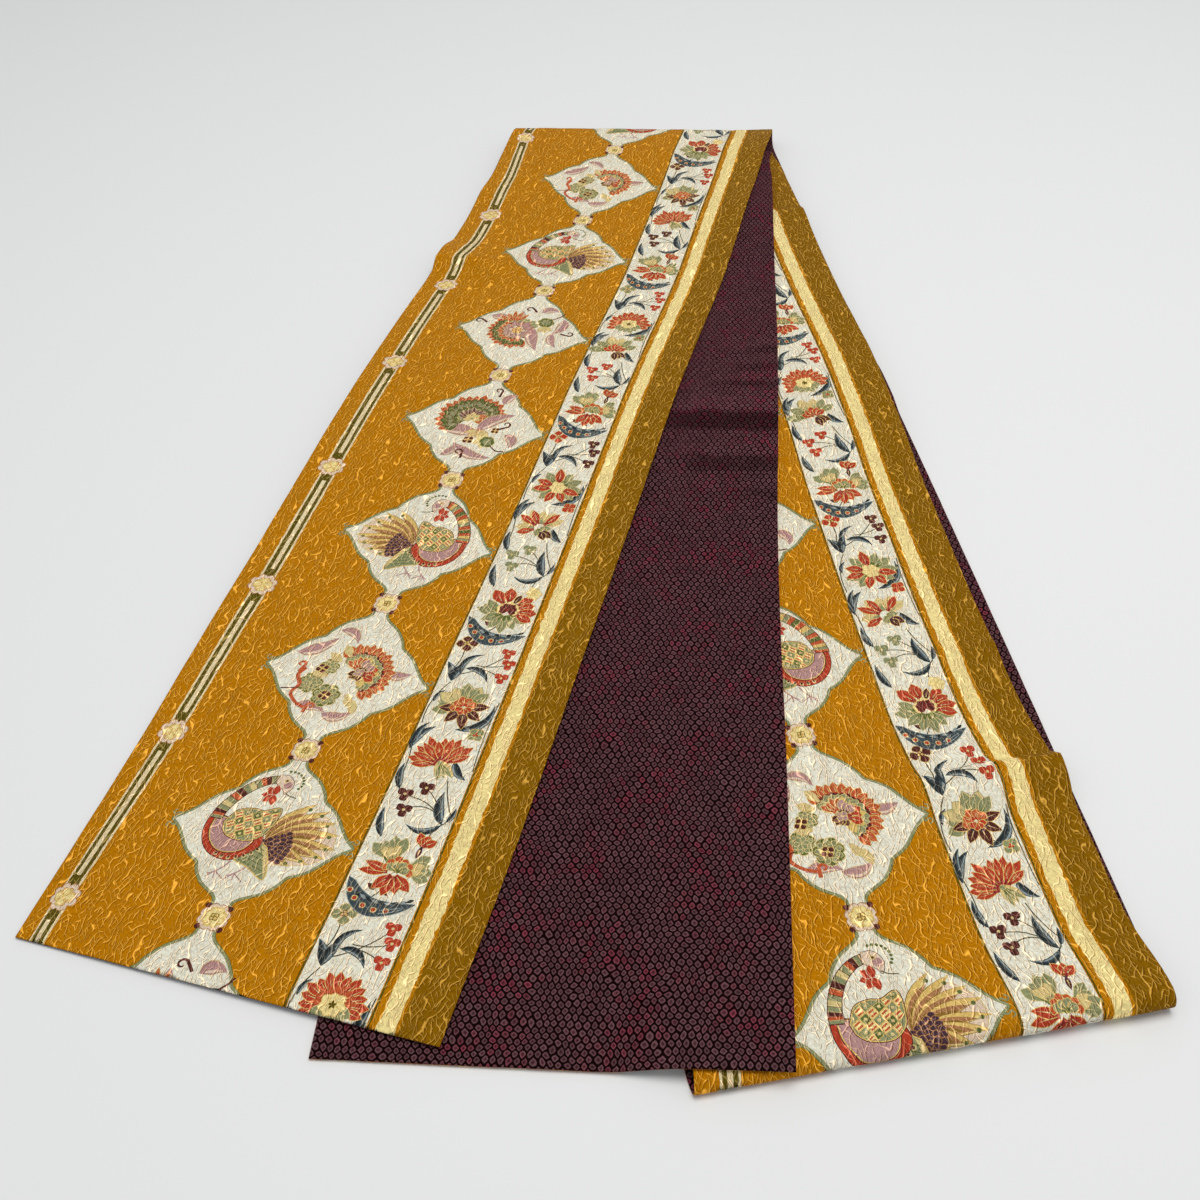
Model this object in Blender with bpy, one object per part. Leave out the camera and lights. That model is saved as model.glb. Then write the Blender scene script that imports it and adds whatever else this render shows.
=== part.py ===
"""Obi sash, two-faced, laid on a flat surface in four fanned stretches.

A full-width obi is one long strip: a patterned face cloth and a plain-ground
back cloth of the same cut, joined along both edges and both ends.  It is
folded to and fro three times, so four stretches lie on each other and spread
like a fan:

    left stretch    face up, ends in the first finished end
    centre stretch  back up, ends in the second finished end
    right stretch   face up
    under stretch   back up, flat on the surface

Outer fold joins left and under, front fold joins under and right, inner fold
joins right and centre.  Units are metres, +Z up, +Y away along the length.
"""
import bpy
import math
import numpy as np

# ------------------------------------------------------------------ sizes
MM = 0.001
WIDTH = 310 * MM            # full-width obi, selvedge to selvedge
FACE_WALL = 1.0 * MM        # patterned brocade
BACK_WALL = 1.0 * MM        # back cloth
SEAM_GAP = 0.3 * MM         # between the two cloths
PLY = FACE_WALL + SEAM_GAP + BACK_WALL
REST_GAP = 0.6 * MM         # between one stretch and the next that it lies on

COLUMNS = 8                 # facets across the strip
FOLD_FACETS = 3             # facets in each quarter turn of a fold
FOLD_PART = math.radians(8)  # half angle of the slit where two stretches meet
TABLE_CELL = 5 * MM         # grid used to feel what lies below

# Each stretch: where the left corner of its near end lies, its heading
# clockwise from +Y, and the far or near lines that bound it.
STRETCHES = {
    #          x mm    y mm   heading deg
    "left":   (-410.4, 522.6, 16.87),
    "centre": (-205.5, 426.6, 6.15),
    "right":  (41.3, 394.8, -6.50),
    "under":  (38.7, 400.4, -5.46),
}

# Reach of each fold's bend, in mm, at its left and its right end.
FOLD_REACH = {"outer": (9.8, 7.8), "front": (3.8, 8.0), "inner": (4.5, 4.5)}

# How far the front fold's two ends lie off the right stretch's square end.
FRONT_SKEW = (-4.0, 1.2)    # mm, at its left and its right

# How far the near ends are from square: the right corner's lead, in mm.
END_SKEW = {"left": -6.0, "centre": 3.0}

# Stations along each stretch, in mm from its near end: along, how far the left
# and the right edge sway to the right, and the height of the strip's middle
# layer at the left and at the right edge.
STATIONS = {
    "left": (
        # along  sway L, R    high L, R
        (0,      0.0, -0.6,   1.6, 6.0),
        (93,     0.3,  1.0,   1.6, 5.6),
        (186,    0.6,  1.3,   3.1, 5.6),
        (279,   -0.4,  1.0,   6.0, 6.8),
        (372,    0.5,  1.1,   9.3, 8.7),
        (465,    0.4,  0.8,  13.0, 11.2),
        (558,    0.4,  0.4,  17.0, 15.5),
        (620,    0.8,  0.5,  18.6, 18.0),
        (682,    1.6,  0.4,  18.0, 18.6),
        (744,    1.4,  1.2,  15.8, 17.0),
        (806,    3.0,  2.6,  14.0, 15.0),
        (868,    3.4,  4.0,  13.0, 13.6),
        (930,    3.2,  3.4,  11.0, 13.0),
        (992,    2.8,  3.0,  12.0, 14.0),
        (1035,   4.2,  2.4,  10.5, 14.0),
        (1085,   0.4,  2.2,  18.0, 15.5),
        (1147,  -3.0,  0.6,  21.0, 17.0),
        (1210,  -4.0, -1.5,  21.0, 17.0),
    ),
    "centre": (
        (0,      6.4,  0.6,   1.6, 3.0),
        (260,    4.0,  0.0,   1.6, 2.5),
        (400,    0.0, -2.0,   1.6, 2.5),
        (520,    0.0, -1.8,   1.6, 2.5),
        (610,    0.0,  0.0,   2.5, 5.0),
        (800,    1.0,  1.7,   4.0, 8.0),
        (900,    1.0,  1.0,   4.0, 8.0),
        (1150,   0.0,  0.0,   8.0, 12.0),
    ),
    "right": (
        (0,      0.0, -1.0,   8.5, 16.5),
        (21,     0.0, -3.0,   9.0, 16.5),
        (40,     0.0, -4.2,   9.0, 12.5),
        (62,     0.0, -5.0,   7.5, 8.0),
        (84,     0.0, -3.4,   6.0, 5.2),
        (155,    0.0, -2.2,   4.2, 4.4),
        (192,    0.0, -0.4,   4.2, 4.4),
        (222,    0.0, -4.2,   4.2, 4.4),
        (340,    0.0, -5.4,   4.2, 4.4),
        (465,    0.0, -1.6,   4.2, 4.6),
        (527,    0.0,  0.0,   4.6, 7.0),
        (574,    1.0,  2.0,   6.0, 11.0),
        (620,    1.5,  3.2,   7.5, 14.0),
        (682,    2.0,  5.6,   8.0, 15.0),
        (744,    2.0,  5.4,   7.5, 14.0),
        (806,    2.0,  5.0,   7.0, 12.5),
        (868,    2.0,  5.4,   7.0, 12.5),
        (930,    2.0,  6.3,   7.0, 14.0),
        (961,    2.0,  7.2,   7.0, 15.0),
        (992,    2.0,  6.0,   7.0, 12.5),
        (1042,   2.0,  6.5,   7.0, 13.5),
        (1100,   1.0,  4.4,   7.0, 13.0),
        (1160,   1.0,  3.4,   7.0, 12.0),
    ),
    "under": (
        (0,      0.0,  0.0,   1.15, 1.15),
        (640,    0.0,  0.5,   1.15, 1.15),
        (700,    0.0,  0.0,   1.15, 1.15),
        (760,   -2.0, -4.0,   1.15, 1.15),
        (1080,  -2.0, -5.0,   1.15, 1.15),
        (1200,   0.0, -2.0,   1.15, 1.15),
    ),
}

# Creases left by storage: on which stretch, distance along, height, length of
# its near and far slope, the edge where it is highest, and how far across the
# width it runs before it has faded out.
CREASES = (
    # stretch   along  high  near  far  edge     fade
    ("left",    845,   13.5, 27,   34,  "left",  0.34),
    ("left",    990,   4.5,  34,   34,  "left",  0.40),
    ("left",    640,   1.6,  30,   45,  "right", 0.80),
    ("right",   195,   11.5, 36,   11,  "right", 0.55),
    ("right",   316,   2.5,  26,   12,  "right", 0.30),
    ("right",   975,   3.5,  24,   12,  "right", 0.60),
    ("centre",  608,   2.2,  22,   26,  "right", 1.20),
    ("centre",  668,   1.8,  24,   24,  "right", 1.20),
    ("under",   655,   10.0, 24,   30,  "right", 0.80),
)


# ---------------------------------------------------------------- outlines
def heading(name):
    turn = math.radians(STRETCHES[name][2])
    return (np.array([math.sin(turn), math.cos(turn)]),
            np.array([math.cos(turn), -math.sin(turn)]))


def corner(name):
    return np.array(STRETCHES[name][:2]) * MM


def meet(p, d, q, e):
    """Where line p + a d meets line q + b e: the lengths a and b."""
    a, b = np.linalg.solve(np.column_stack([d, -e]), q - p)
    return a, b


def fold_line(first, second):
    """Both ends of the line where two stretches' edges cross."""
    ends = []
    for u in (0, 1):
        d1, w1 = heading(first)
        d2, w2 = heading(second)
        p = corner(first) + u * WIDTH * w1
        q = corner(second) + u * WIDTH * w2
        a, _ = meet(p, d1, q, d2)
        ends.append(p + a * d1)
    return np.array(ends)


def outward(line, sign=1):
    """Level unit vector square to a fold's line."""
    t = (line[1] - line[0]) / np.linalg.norm(line[1] - line[0])
    return sign * np.array([-t[1], t[0]])


def along_of(name, line, fold, sign=1):
    """Distances along a stretch, at both edges, to where a fold's bend starts."""
    d, w = heading(name)
    start = line - outward(line, sign) * np.array(FOLD_REACH[fold])[:, None] * MM
    out = []
    for u in (0, 1):
        p = corner(name) + u * WIDTH * w
        a, _ = meet(p, d, start[0], start[1] - start[0])
        out.append(a)
    return out


OUTER = fold_line("left", "under")
INNER = fold_line("centre", "right")
FRONT = np.array([corner("right") + WIDTH * u * heading("right")[1]
                  + FRONT_SKEW[u] * MM * heading("right")[0] for u in (0, 1)])


def smooth_between(x, rows, column):
    """Soft curve through one column of a station table."""
    xs = np.array([r[0] for r in rows], float) * MM
    ys = np.array([r[column] for r in rows], float) * MM
    slope = np.gradient(ys, xs)
    k = np.clip(np.searchsorted(xs, x) - 1, 0, len(xs) - 2)
    h = xs[k + 1] - xs[k]
    t = np.clip((x - xs[k]) / h, 0, 1)
    return ((2 * t**3 - 3 * t**2 + 1) * ys[k] + (t**3 - 2 * t**2 + t) * h * slope[k]
            + (3 * t**2 - 2 * t**3) * ys[k + 1] + (t**3 - t**2) * h * slope[k + 1])


def soft(x):
    x = np.clip(x, 0, 1)
    return x * x * (3 - 2 * x)


def crease_height(name, u, v):
    z = np.zeros_like(v)
    for stretch, at, high, near, far, edge, fade in CREASES:
        if stretch != name:
            continue
        side = u if edge == "left" else 1 - u
        strength = 1 - soft(side / fade)
        x = v - at * MM
        rise = np.where(x < 0, 1 + x / (near * MM), 1 - x / (far * MM))
        z += high * MM * strength * soft(rise)
    return z


# ---------------------------------------------------- the rows of the strip
def stretch_rows(name, near, far):
    """Distances along the stretch at both edges, one pair for each row."""
    length = 0.5 * (far[0] + far[1]) - 0.5 * (near[0] + near[1])
    marks = set(np.linspace(0, 1, 20).round(4))
    for row in CREASES:
        if row[0] == name:
            for part in (row[1] - row[3], row[1], row[1] + row[4]):
                marks.add(round((part * MM - 0.5 * (near[0] + near[1])) / length, 4))
    marks = sorted(m for m in marks if 0 <= m <= 1)
    kept = [0.0]
    for m in marks[1:]:
        if (m - kept[-1]) * length >= 9 * MM:
            kept.append(m)
    if kept[-1] != 1.0:
        if (1.0 - kept[-1]) * length < 9 * MM:
            kept.pop()
        kept.append(1.0)
    kept = np.array(kept)
    return near[0] + (far[0] - near[0]) * kept, near[1] + (far[1] - near[1]) * kept


def lay(name, near, far, below):
    """Middle layer of one stretch as rows of points, resting on `below`."""
    d, w = heading(name)
    left, right = stretch_rows(name, near, far)
    u = np.linspace(0, 1, COLUMNS + 1)[None, :]
    v = left[:, None] * (1 - u) + right[:, None] * u
    rows = STATIONS[name]
    z = (smooth_between(v, rows, 3) * (1 - u) + smooth_between(v, rows, 4) * u
         + crease_height(name, u + 0 * v, v))
    sway = smooth_between(v, rows, 1) * (1 - u) + smooth_between(v, rows, 2) * u
    side = u * WIDTH + sway
    xy = corner(name) + side[..., None] * w + v[..., None] * d
    return rest_on(np.dstack([xy, z]), below)


def bend(top, low, fold, away):
    """Rows of the bend that joins the last row of `top` to the first of `low`."""
    reach = np.linspace(*FOLD_REACH[fold], top.shape[0])[:, None] * MM
    half = 0.5 * (top[:, 2] - low[:, 2])
    middle = 0.5 * (top[:, 2] + low[:, 2])
    quarter = np.linspace(math.pi / 2, FOLD_PART, FOLD_FACETS + 1)[1:]
    angles = np.concatenate([quarter, -quarter[::-1]])
    rows = []
    for a in angles:
        share = 0.5 - a / math.pi
        flat = top[:, :2] * (1 - share) + low[:, :2] * share + away * reach * math.cos(a)
        rows.append(np.column_stack([flat, middle + half * math.sin(a)]))
    return np.array(rows)


# --------------------------------------------------- what lies below a sheet
class Below:
    """Height of the top of everything laid so far, on a square grid."""

    def __init__(self):
        self.x0, self.y0 = -0.60, 0.25
        self.top = np.zeros((260, 320))

    def cell(self, x, y):
        i = np.clip(((x - self.x0) / TABLE_CELL).astype(int), 0, self.top.shape[0] - 1)
        j = np.clip(((y - self.y0) / TABLE_CELL).astype(int), 0, self.top.shape[1] - 1)
        return i, j

    def add(self, sheet):
        parts = np.linspace(0, 1, 13)
        a, b = np.meshgrid(parts, parts, indexing="ij")
        p = [sheet[:-1, :-1], sheet[1:, :-1], sheet[:-1, 1:], sheet[1:, 1:]]
        share = [(1 - a) * (1 - b), a * (1 - b), (1 - a) * b, a * b]
        q = sum(s[None, None, :, :, None] * c[:, :, None, None, :]
                for s, c in zip(share, p)).reshape(-1, 3)
        i, j = self.cell(q[:, 0], q[:, 1])
        np.maximum.at(self.top, (i, j), q[:, 2] + 0.5 * PLY)

    def under(self, x, y):
        i, j = self.cell(x, y)
        z = self.top[i, j]
        for di in (-1, 0, 1):
            for dj in (-1, 0, 1):
                z = np.maximum(z, self.top[np.clip(i + di, 0, self.top.shape[0] - 1),
                                           np.clip(j + dj, 0, self.top.shape[1] - 1)])
        return z


def rest_on(sheet, below):
    """Lift a sheet where it would sink into what it lies on."""
    parts = np.linspace(0, 1, 7)
    a, b = np.meshgrid(parts, parts, indexing="ij")
    share = [(1 - a) * (1 - b), a * (1 - b), (1 - a) * b, a * b]
    corners = ((0, 0), (1, 0), (0, 1), (1, 1))
    n, m = sheet.shape[:2]

    def view(s, c):
        return s[c[0]:n - 1 + c[0], c[1]:m - 1 + c[1]]

    for step in range(60):
        q = sum(s[None, None, :, :, None] * view(sheet, c)[:, :, None, None, :]
                for s, c in zip(share, corners))
        floor = below.under(q[..., 0], q[..., 1])
        clear = np.where(floor > 0, REST_GAP, 0.0) + 0.5 * PLY
        short = np.maximum(floor + clear - q[..., 2], 0)
        lift = np.zeros((n, m))
        for s, c in zip(share, corners):
            need = (short * s[None, None]).max(axis=(2, 3))
            np.maximum(view(lift, c), need, out=view(lift, c))
        if lift.max() < 0.02 * MM:
            break
        sheet = sheet.copy()
        sheet[..., 2] += lift
        if step < 40:
            soften = lift.copy()
            soften[1:-1] = 0.25 * (lift[:-2] + 2 * lift[1:-1] + lift[2:])
            sheet[..., 2] += 0.3 * np.maximum(soften - lift, 0)
    return sheet


# ------------------------------------------------------------ lay the strip
def whole_strip():
    below = Below()
    under = lay("under", along_of("under", FRONT, "front", -1),
                along_of("under", OUTER, "outer"), below)
    below.add(under)
    right = lay("right", along_of("right", FRONT, "front", -1),
                along_of("right", INNER, "inner"), below)
    front = bend(right[0], under[0], "front", outward(FRONT, -1))
    below.add(right)
    below.add(np.concatenate([right[:1], front[:FOLD_FACETS]]))
    centre = lay("centre", (0.0, END_SKEW["centre"] * MM),
                 along_of("centre", INNER, "inner"), below)
    # the bend stands open by its own reach
    open_by = 2 * FOLD_REACH["inner"][0] * MM - (centre[-1, :, 2] - right[-1, :, 2])
    for k, share in ((-1, 1.0), (-2, 0.75), (-3, 0.35), (-4, 0.1)):
        centre[k, :, 2] += share * np.maximum(open_by, 0)
    inner = bend(centre[-1], right[-1], "inner", outward(INNER))
    below.add(centre)
    below.add(np.concatenate([centre[-1:], inner[:FOLD_FACETS]]))
    left = lay("left", (0.0, END_SKEW["left"] * MM),
               along_of("left", OUTER, "outer"), below)
    outer = bend(left[-1], under[-1], "outer", outward(OUTER))
    rows = [left, outer, under[::-1], front[::-1], right, inner[::-1], centre[::-1]]
    return np.concatenate(rows), [len(r) for r in rows]


def normals_of(grid):
    """Unit normals on the face cloth's side of the strip."""
    du = np.gradient(grid, axis=1)
    dv = np.gradient(grid, axis=0)
    n = np.cross(du, dv)
    return n / np.linalg.norm(n, axis=2, keepdims=True)


def wall(name, grid, normal, start, end, tint):
    """One closed cloth wall between two offsets from the middle layer."""
    rows, cols = grid.shape[:2]
    a = (grid + normal * start).reshape(-1, 3)
    b = (grid + normal * end).reshape(-1, 3)
    half = rows * cols
    faces = []
    for i in range(rows - 1):
        for j in range(cols - 1):
            p, q, r, s = i * cols + j, i * cols + j + 1, (i + 1) * cols + j + 1, (i + 1) * cols + j
            faces += [(p, r, q), (p, s, r)]
            faces += [(half + p, half + q, half + r), (half + p, half + r, half + s)]
    ring = ([j for j in range(cols)] + [i * cols + cols - 1 for i in range(1, rows)]
            + [(rows - 1) * cols + j for j in range(cols - 2, -1, -1)]
            + [i * cols for i in range(rows - 2, 0, -1)])
    for k, p in enumerate(ring):
        q = ring[(k + 1) % len(ring)]
        faces += [(p, q, half + q), (p, half + q, half + p)]
    mesh = bpy.data.meshes.new(name)
    mesh.from_pydata([tuple(v) for v in np.vstack([a, b])], [], faces)
    mesh.validate()
    mesh.update()
    volume = sum(mesh.vertices[t.vertices[0]].co.dot(
        mesh.vertices[t.vertices[1]].co.cross(mesh.vertices[t.vertices[2]].co))
        for t in mesh.polygons)
    if volume < 0:
        mesh.flip_normals()
    colour, rough = tint
    material = bpy.data.materials.get(colour[0]) or bpy.data.materials.new(colour[0])
    material.use_nodes = True
    shader = material.node_tree.nodes["Principled BSDF"]
    shader.inputs["Base Color"].default_value = colour[1]
    shader.inputs["Roughness"].default_value = rough
    mesh.materials.append(material)
    thing = bpy.data.objects.new(name, mesh)
    bpy.context.scene.collection.objects.link(thing)
    return thing


def build():
    for thing in list(bpy.data.objects):
        bpy.data.objects.remove(thing, do_unlink=True)
    grid, counts = whole_strip()
    normal = normals_of(grid)
    # rest the underside on z = 0 and centre the footprint on the origin
    flat = [grid + normal * s * (0.5 * PLY) for s in (-1, 1)]
    low = np.minimum(flat[0], flat[1]).min(axis=(0, 1))
    high = np.maximum(flat[0], flat[1]).max(axis=(0, 1))
    shift = np.array([0.5 * (low[0] + high[0]), 0.5 * (low[1] + high[1]), low[2]])
    grid = grid - shift
    edges = np.cumsum([0] + counts)
    half = FOLD_FACETS
    cuts = {
        "left_stretch": (0, edges[1] + half),
        "under_stretch": (edges[1] + half, edges[3] + half),
        "right_stretch": (edges[3] + half, edges[5] + half),
        "centre_stretch": (edges[5] + half, edges[7]),
    }
    ochre = (("ochre brocade", (0.49, 0.20, 0.006, 1.0)), 0.55)
    plum = (("plum spotted weave", (0.055, 0.018, 0.030, 1.0)), 0.6)
    for name, (first, last) in cuts.items():
        part = grid[first:last]
        side = normal[first:last]
        wall(name + "_face", part, side, 0.5 * SEAM_GAP, 0.5 * SEAM_GAP + FACE_WALL, ochre)
        wall(name + "_back", part, side, -0.5 * SEAM_GAP - BACK_WALL, -0.5 * SEAM_GAP, plum)


build()
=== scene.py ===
"""Obi sash, folded to and fro and fanned out flat: its two cloths as thin shells.

Face cloth: patterned brocade with a crinkled ground.  Back cloth: dark spotted
weave.  Each is one strip, shown in four stretches that lie on each other.
Metres, +Z up; lengths on the flat strip and its pattern are in millimetres.
"""
import math

import bpy
import numpy as np
from mathutils import Matrix, Vector, noise
from mathutils.bvhtree import BVHTree
from mathutils.geometry import delaunay_2d_cdt


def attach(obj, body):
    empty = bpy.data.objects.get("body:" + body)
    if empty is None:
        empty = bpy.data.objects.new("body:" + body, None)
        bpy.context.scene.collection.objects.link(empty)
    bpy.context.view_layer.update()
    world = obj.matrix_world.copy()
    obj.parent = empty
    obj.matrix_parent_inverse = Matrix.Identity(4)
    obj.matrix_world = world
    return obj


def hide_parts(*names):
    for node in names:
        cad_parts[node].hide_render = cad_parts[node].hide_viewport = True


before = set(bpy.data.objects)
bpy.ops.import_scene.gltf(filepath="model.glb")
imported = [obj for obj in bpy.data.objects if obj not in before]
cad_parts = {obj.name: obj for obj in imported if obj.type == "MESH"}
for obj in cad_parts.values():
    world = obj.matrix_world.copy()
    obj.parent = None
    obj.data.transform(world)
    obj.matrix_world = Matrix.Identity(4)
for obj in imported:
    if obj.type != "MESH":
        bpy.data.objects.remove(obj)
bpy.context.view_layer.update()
scene = bpy.context.scene

# ------------------------------------------------------------ the studio
# A pale matt board that runs on to the horizon, one broad soft lamp above the
# sash in an evenly lit room, and a hand-held camera over the near edge.
EYE = (0.0314, -1.0052, 0.844)
LENS, SENSOR = 42.2, 36.0
PITCH_DOWN, ROLL = math.radians(42.939), math.radians(2.7013)
ahead = Vector((0, math.cos(PITCH_DOWN), -math.sin(PITCH_DOWN)))
above = Vector((0, math.sin(PITCH_DOWN), math.cos(PITCH_DOWN)))
across = Vector((1, 0, 0))
right_hand = across * math.cos(ROLL) - above * math.sin(ROLL)
up_hand = across * math.sin(ROLL) + above * math.cos(ROLL)
camera = bpy.data.objects.new("camera", bpy.data.cameras.new("camera"))
scene.collection.objects.link(camera)
turn = Matrix((right_hand, up_hand, -ahead)).transposed()
camera.matrix_world = Matrix.Translation(EYE) @ turn.to_4x4()
camera.data.lens, camera.data.sensor_width = LENS, SENSOR
camera.data.shift_y = -0.06176   # the frame lies a little below the lens's axis
camera.data.clip_start, camera.data.clip_end = 0.05, 200.0
scene.camera = camera
scene.view_settings.view_transform = "Standard"

JUST_BELOW = -0.0002         # so that the board never flickers through the cloth
bpy.ops.mesh.primitive_plane_add(size=60.0, location=(0, 0, JUST_BELOW))
floor = bpy.context.object
floor.name = "floor"
paper = bpy.data.materials.new("matt white board")
paper.use_nodes = True
board = paper.node_tree.nodes["Principled BSDF"]
board.inputs["Base Color"].default_value = (0.80, 0.805, 0.805, 1)
board.inputs["Roughness"].default_value = 0.85
board.inputs["Specular IOR Level"].default_value = 0.2
floor.data.materials.append(paper)

world = bpy.data.worlds.new("soft room")
scene.world = world
world.use_nodes = True
world.node_tree.nodes["Background"].inputs["Color"].default_value = (0.94, 0.97, 1.0, 1)
world.node_tree.nodes["Background"].inputs["Strength"].default_value = 0.465

lamp = bpy.data.objects.new("window", bpy.data.lights.new("window", "AREA"))
lamp.data.shape, lamp.data.size = "DISK", 2.2
lamp.data.energy, lamp.data.color = 60, (1.0, 0.985, 0.95)
lamp.location = (0.5, -0.1, 3.0)
lamp.rotation_euler = (-lamp.location).to_track_quat("-Z", "Y").to_euler()
scene.collection.objects.link(lamp)


# ------------------------------------------------- the strip that is folded
# Two cloths of one cut, sewn back to back along both edges and across both
# ends: a strip 310 mm wide, laid to and fro in four stretches that spread like
# a fan and are joined by three bends.  Both cloths follow its middle layer.
MM = 0.001
WIDTH = 310 * MM
PLY = 2.3 * MM               # both cloths and the seam between them
REST_GAP = 0.6 * MM          # between one stretch and the next that it lies on
COLUMNS = 8                  # facets across the strip
FOLD_FACETS = 3              # facets in each quarter turn of a fold
FOLD_PART = math.radians(8)  # half angle of the slit where two stretches meet
TABLE_CELL = 5 * MM          # grid used to feel what lies below

# Each stretch: where the left corner of its near end lies, and its heading,
# clockwise from +Y.
STRETCHES = {
    #          x mm    y mm   heading deg
    "left":   (-410.4, 522.6, 16.87),
    "centre": (-205.5, 426.6, 6.15),
    "right":  (41.3, 394.8, -6.50),
    "under":  (38.7, 400.4, -5.46),
}

# Reach of each fold's bend, in mm, at its left and its right end.
FOLD_REACH = {"outer": (9.8, 7.8), "front": (3.8, 8.0), "inner": (4.5, 4.5)}

# How far the front fold's two ends lie off the right stretch's square end.
FRONT_SKEW = (-4.0, 1.2)    # mm, at its left and its right

# How far the near ends are from square: the right corner's lead, in mm.
END_SKEW = {"left": -6.0, "centre": 3.0}

# Stations along each stretch, in mm from its near end: along, how far the left
# and the right edge sway to the right, and the height of the strip's middle
# layer at the left and at the right edge.
STATIONS = {
    "left": (
        # along  sway L, R    high L, R
        (0,      0.0, -0.6,   1.6, 6.0),
        (93,     0.3,  1.0,   1.6, 5.6),
        (186,    0.6,  1.3,   3.1, 5.6),
        (279,   -0.4,  1.0,   6.0, 6.8),
        (372,    0.5,  1.1,   9.3, 8.7),
        (465,    0.4,  0.8,  13.0, 11.2),
        (558,    0.4,  0.4,  17.0, 15.5),
        (620,    0.8,  0.5,  18.6, 18.0),
        (682,    1.6,  0.4,  18.0, 18.6),
        (744,    1.4,  1.2,  15.8, 17.0),
        (806,    3.0,  2.6,  14.0, 15.0),
        (868,    3.4,  4.0,  13.0, 13.6),
        (930,    3.2,  3.4,  11.0, 13.0),
        (992,    2.8,  3.0,  12.0, 14.0),
        (1035,   4.2,  2.4,  10.5, 14.0),
        (1085,   0.4,  2.2,  18.0, 15.5),
        (1147,  -3.0,  0.6,  21.0, 17.0),
        (1210,  -4.0, -1.5,  21.0, 17.0),
    ),
    "centre": (
        (0,      6.4,  0.6,   1.6, 3.0),
        (260,    4.0,  0.0,   1.6, 2.5),
        (400,    0.0, -2.0,   1.6, 2.5),
        (520,    0.0, -1.8,   1.6, 2.5),
        (610,    0.0,  0.0,   2.5, 5.0),
        (800,    1.0,  1.7,   4.0, 8.0),
        (900,    1.0,  1.0,   4.0, 8.0),
        (1150,   0.0,  0.0,   8.0, 12.0),
    ),
    "right": (
        (0,      0.0, -1.0,   8.5, 16.5),
        (21,     0.0, -3.0,   9.0, 16.5),
        (40,     0.0, -4.2,   9.0, 12.5),
        (62,     0.0, -5.0,   7.5, 8.0),
        (84,     0.0, -3.4,   6.0, 5.2),
        (155,    0.0, -2.2,   4.2, 4.4),
        (192,    0.0, -0.4,   4.2, 4.4),
        (222,    0.0, -4.2,   4.2, 4.4),
        (340,    0.0, -5.4,   4.2, 4.4),
        (465,    0.0, -1.6,   4.2, 4.6),
        (527,    0.0,  0.0,   4.6, 7.0),
        (574,    1.0,  2.0,   6.0, 11.0),
        (620,    1.5,  3.2,   7.5, 14.0),
        (682,    2.0,  5.6,   8.0, 15.0),
        (744,    2.0,  5.4,   7.5, 14.0),
        (806,    2.0,  5.0,   7.0, 12.5),
        (868,    2.0,  5.4,   7.0, 12.5),
        (930,    2.0,  6.3,   7.0, 14.0),
        (961,    2.0,  7.2,   7.0, 15.0),
        (992,    2.0,  6.0,   7.0, 12.5),
        (1042,   2.0,  6.5,   7.0, 13.5),
        (1100,   1.0,  4.4,   7.0, 13.0),
        (1160,   1.0,  3.4,   7.0, 12.0),
    ),
    "under": (
        (0,      0.0,  0.0,   1.15, 1.15),
        (640,    0.0,  0.5,   1.15, 1.15),
        (700,    0.0,  0.0,   1.15, 1.15),
        (760,   -2.0, -4.0,   1.15, 1.15),
        (1080,  -2.0, -5.0,   1.15, 1.15),
        (1200,   0.0, -2.0,   1.15, 1.15),
    ),
}

# Creases left by storage: on which stretch, distance along, height, length of
# its near and far slope, the edge where it is highest, and how far across the
# width it runs before it has faded out.
CREASES = (
    # stretch   along  high  near  far  edge     fade
    ("left",    845,   13.5, 27,   34,  "left",  0.34),
    ("left",    990,   4.5,  34,   34,  "left",  0.40),
    ("left",    640,   1.6,  30,   45,  "right", 0.80),
    ("right",   195,   11.5, 36,   11,  "right", 0.55),
    ("right",   316,   2.5,  26,   12,  "right", 0.30),
    ("right",   975,   3.5,  24,   12,  "right", 0.60),
    ("centre",  608,   2.2,  22,   26,  "right", 1.20),
    ("centre",  668,   1.8,  24,   24,  "right", 1.20),
    ("under",   655,   10.0, 24,   30,  "right", 0.80),
)


def heading(name):
    """Level unit vectors along a stretch and across it."""
    turn = math.radians(STRETCHES[name][2])
    return (np.array([math.sin(turn), math.cos(turn)]),
            np.array([math.cos(turn), -math.sin(turn)]))


def corner(name):
    """Near left corner of a stretch, in metres."""
    return np.array(STRETCHES[name][:2]) * MM


def meet(p, d, q, e):
    """Where line p + a d meets line q + b e: the lengths a and b."""
    a, b = np.linalg.solve(np.column_stack([d, -e]), q - p)
    return a, b


def fold_line(first, second):
    """Both ends of the line where two stretches' edges cross."""
    ends = []
    for u in (0, 1):
        d1, w1 = heading(first)
        d2, w2 = heading(second)
        p = corner(first) + u * WIDTH * w1
        q = corner(second) + u * WIDTH * w2
        a, _ = meet(p, d1, q, d2)
        ends.append(p + a * d1)
    return np.array(ends)


def outward(line, sign=1):
    """Level unit vector square to a fold's line."""
    t = (line[1] - line[0]) / np.linalg.norm(line[1] - line[0])
    return sign * np.array([-t[1], t[0]])


def along_of(name, line, fold, sign=1):
    """Distances along a stretch, at both edges, to where a fold's bend starts."""
    d, w = heading(name)
    start = line - outward(line, sign) * np.array(FOLD_REACH[fold])[:, None] * MM
    out = []
    for u in (0, 1):
        p = corner(name) + u * WIDTH * w
        a, _ = meet(p, d, start[0], start[1] - start[0])
        out.append(a)
    return out


OUTER = fold_line("left", "under")
INNER = fold_line("centre", "right")
FRONT = np.array([corner("right") + WIDTH * u * heading("right")[1]
                  + FRONT_SKEW[u] * MM * heading("right")[0] for u in (0, 1)])


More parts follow.
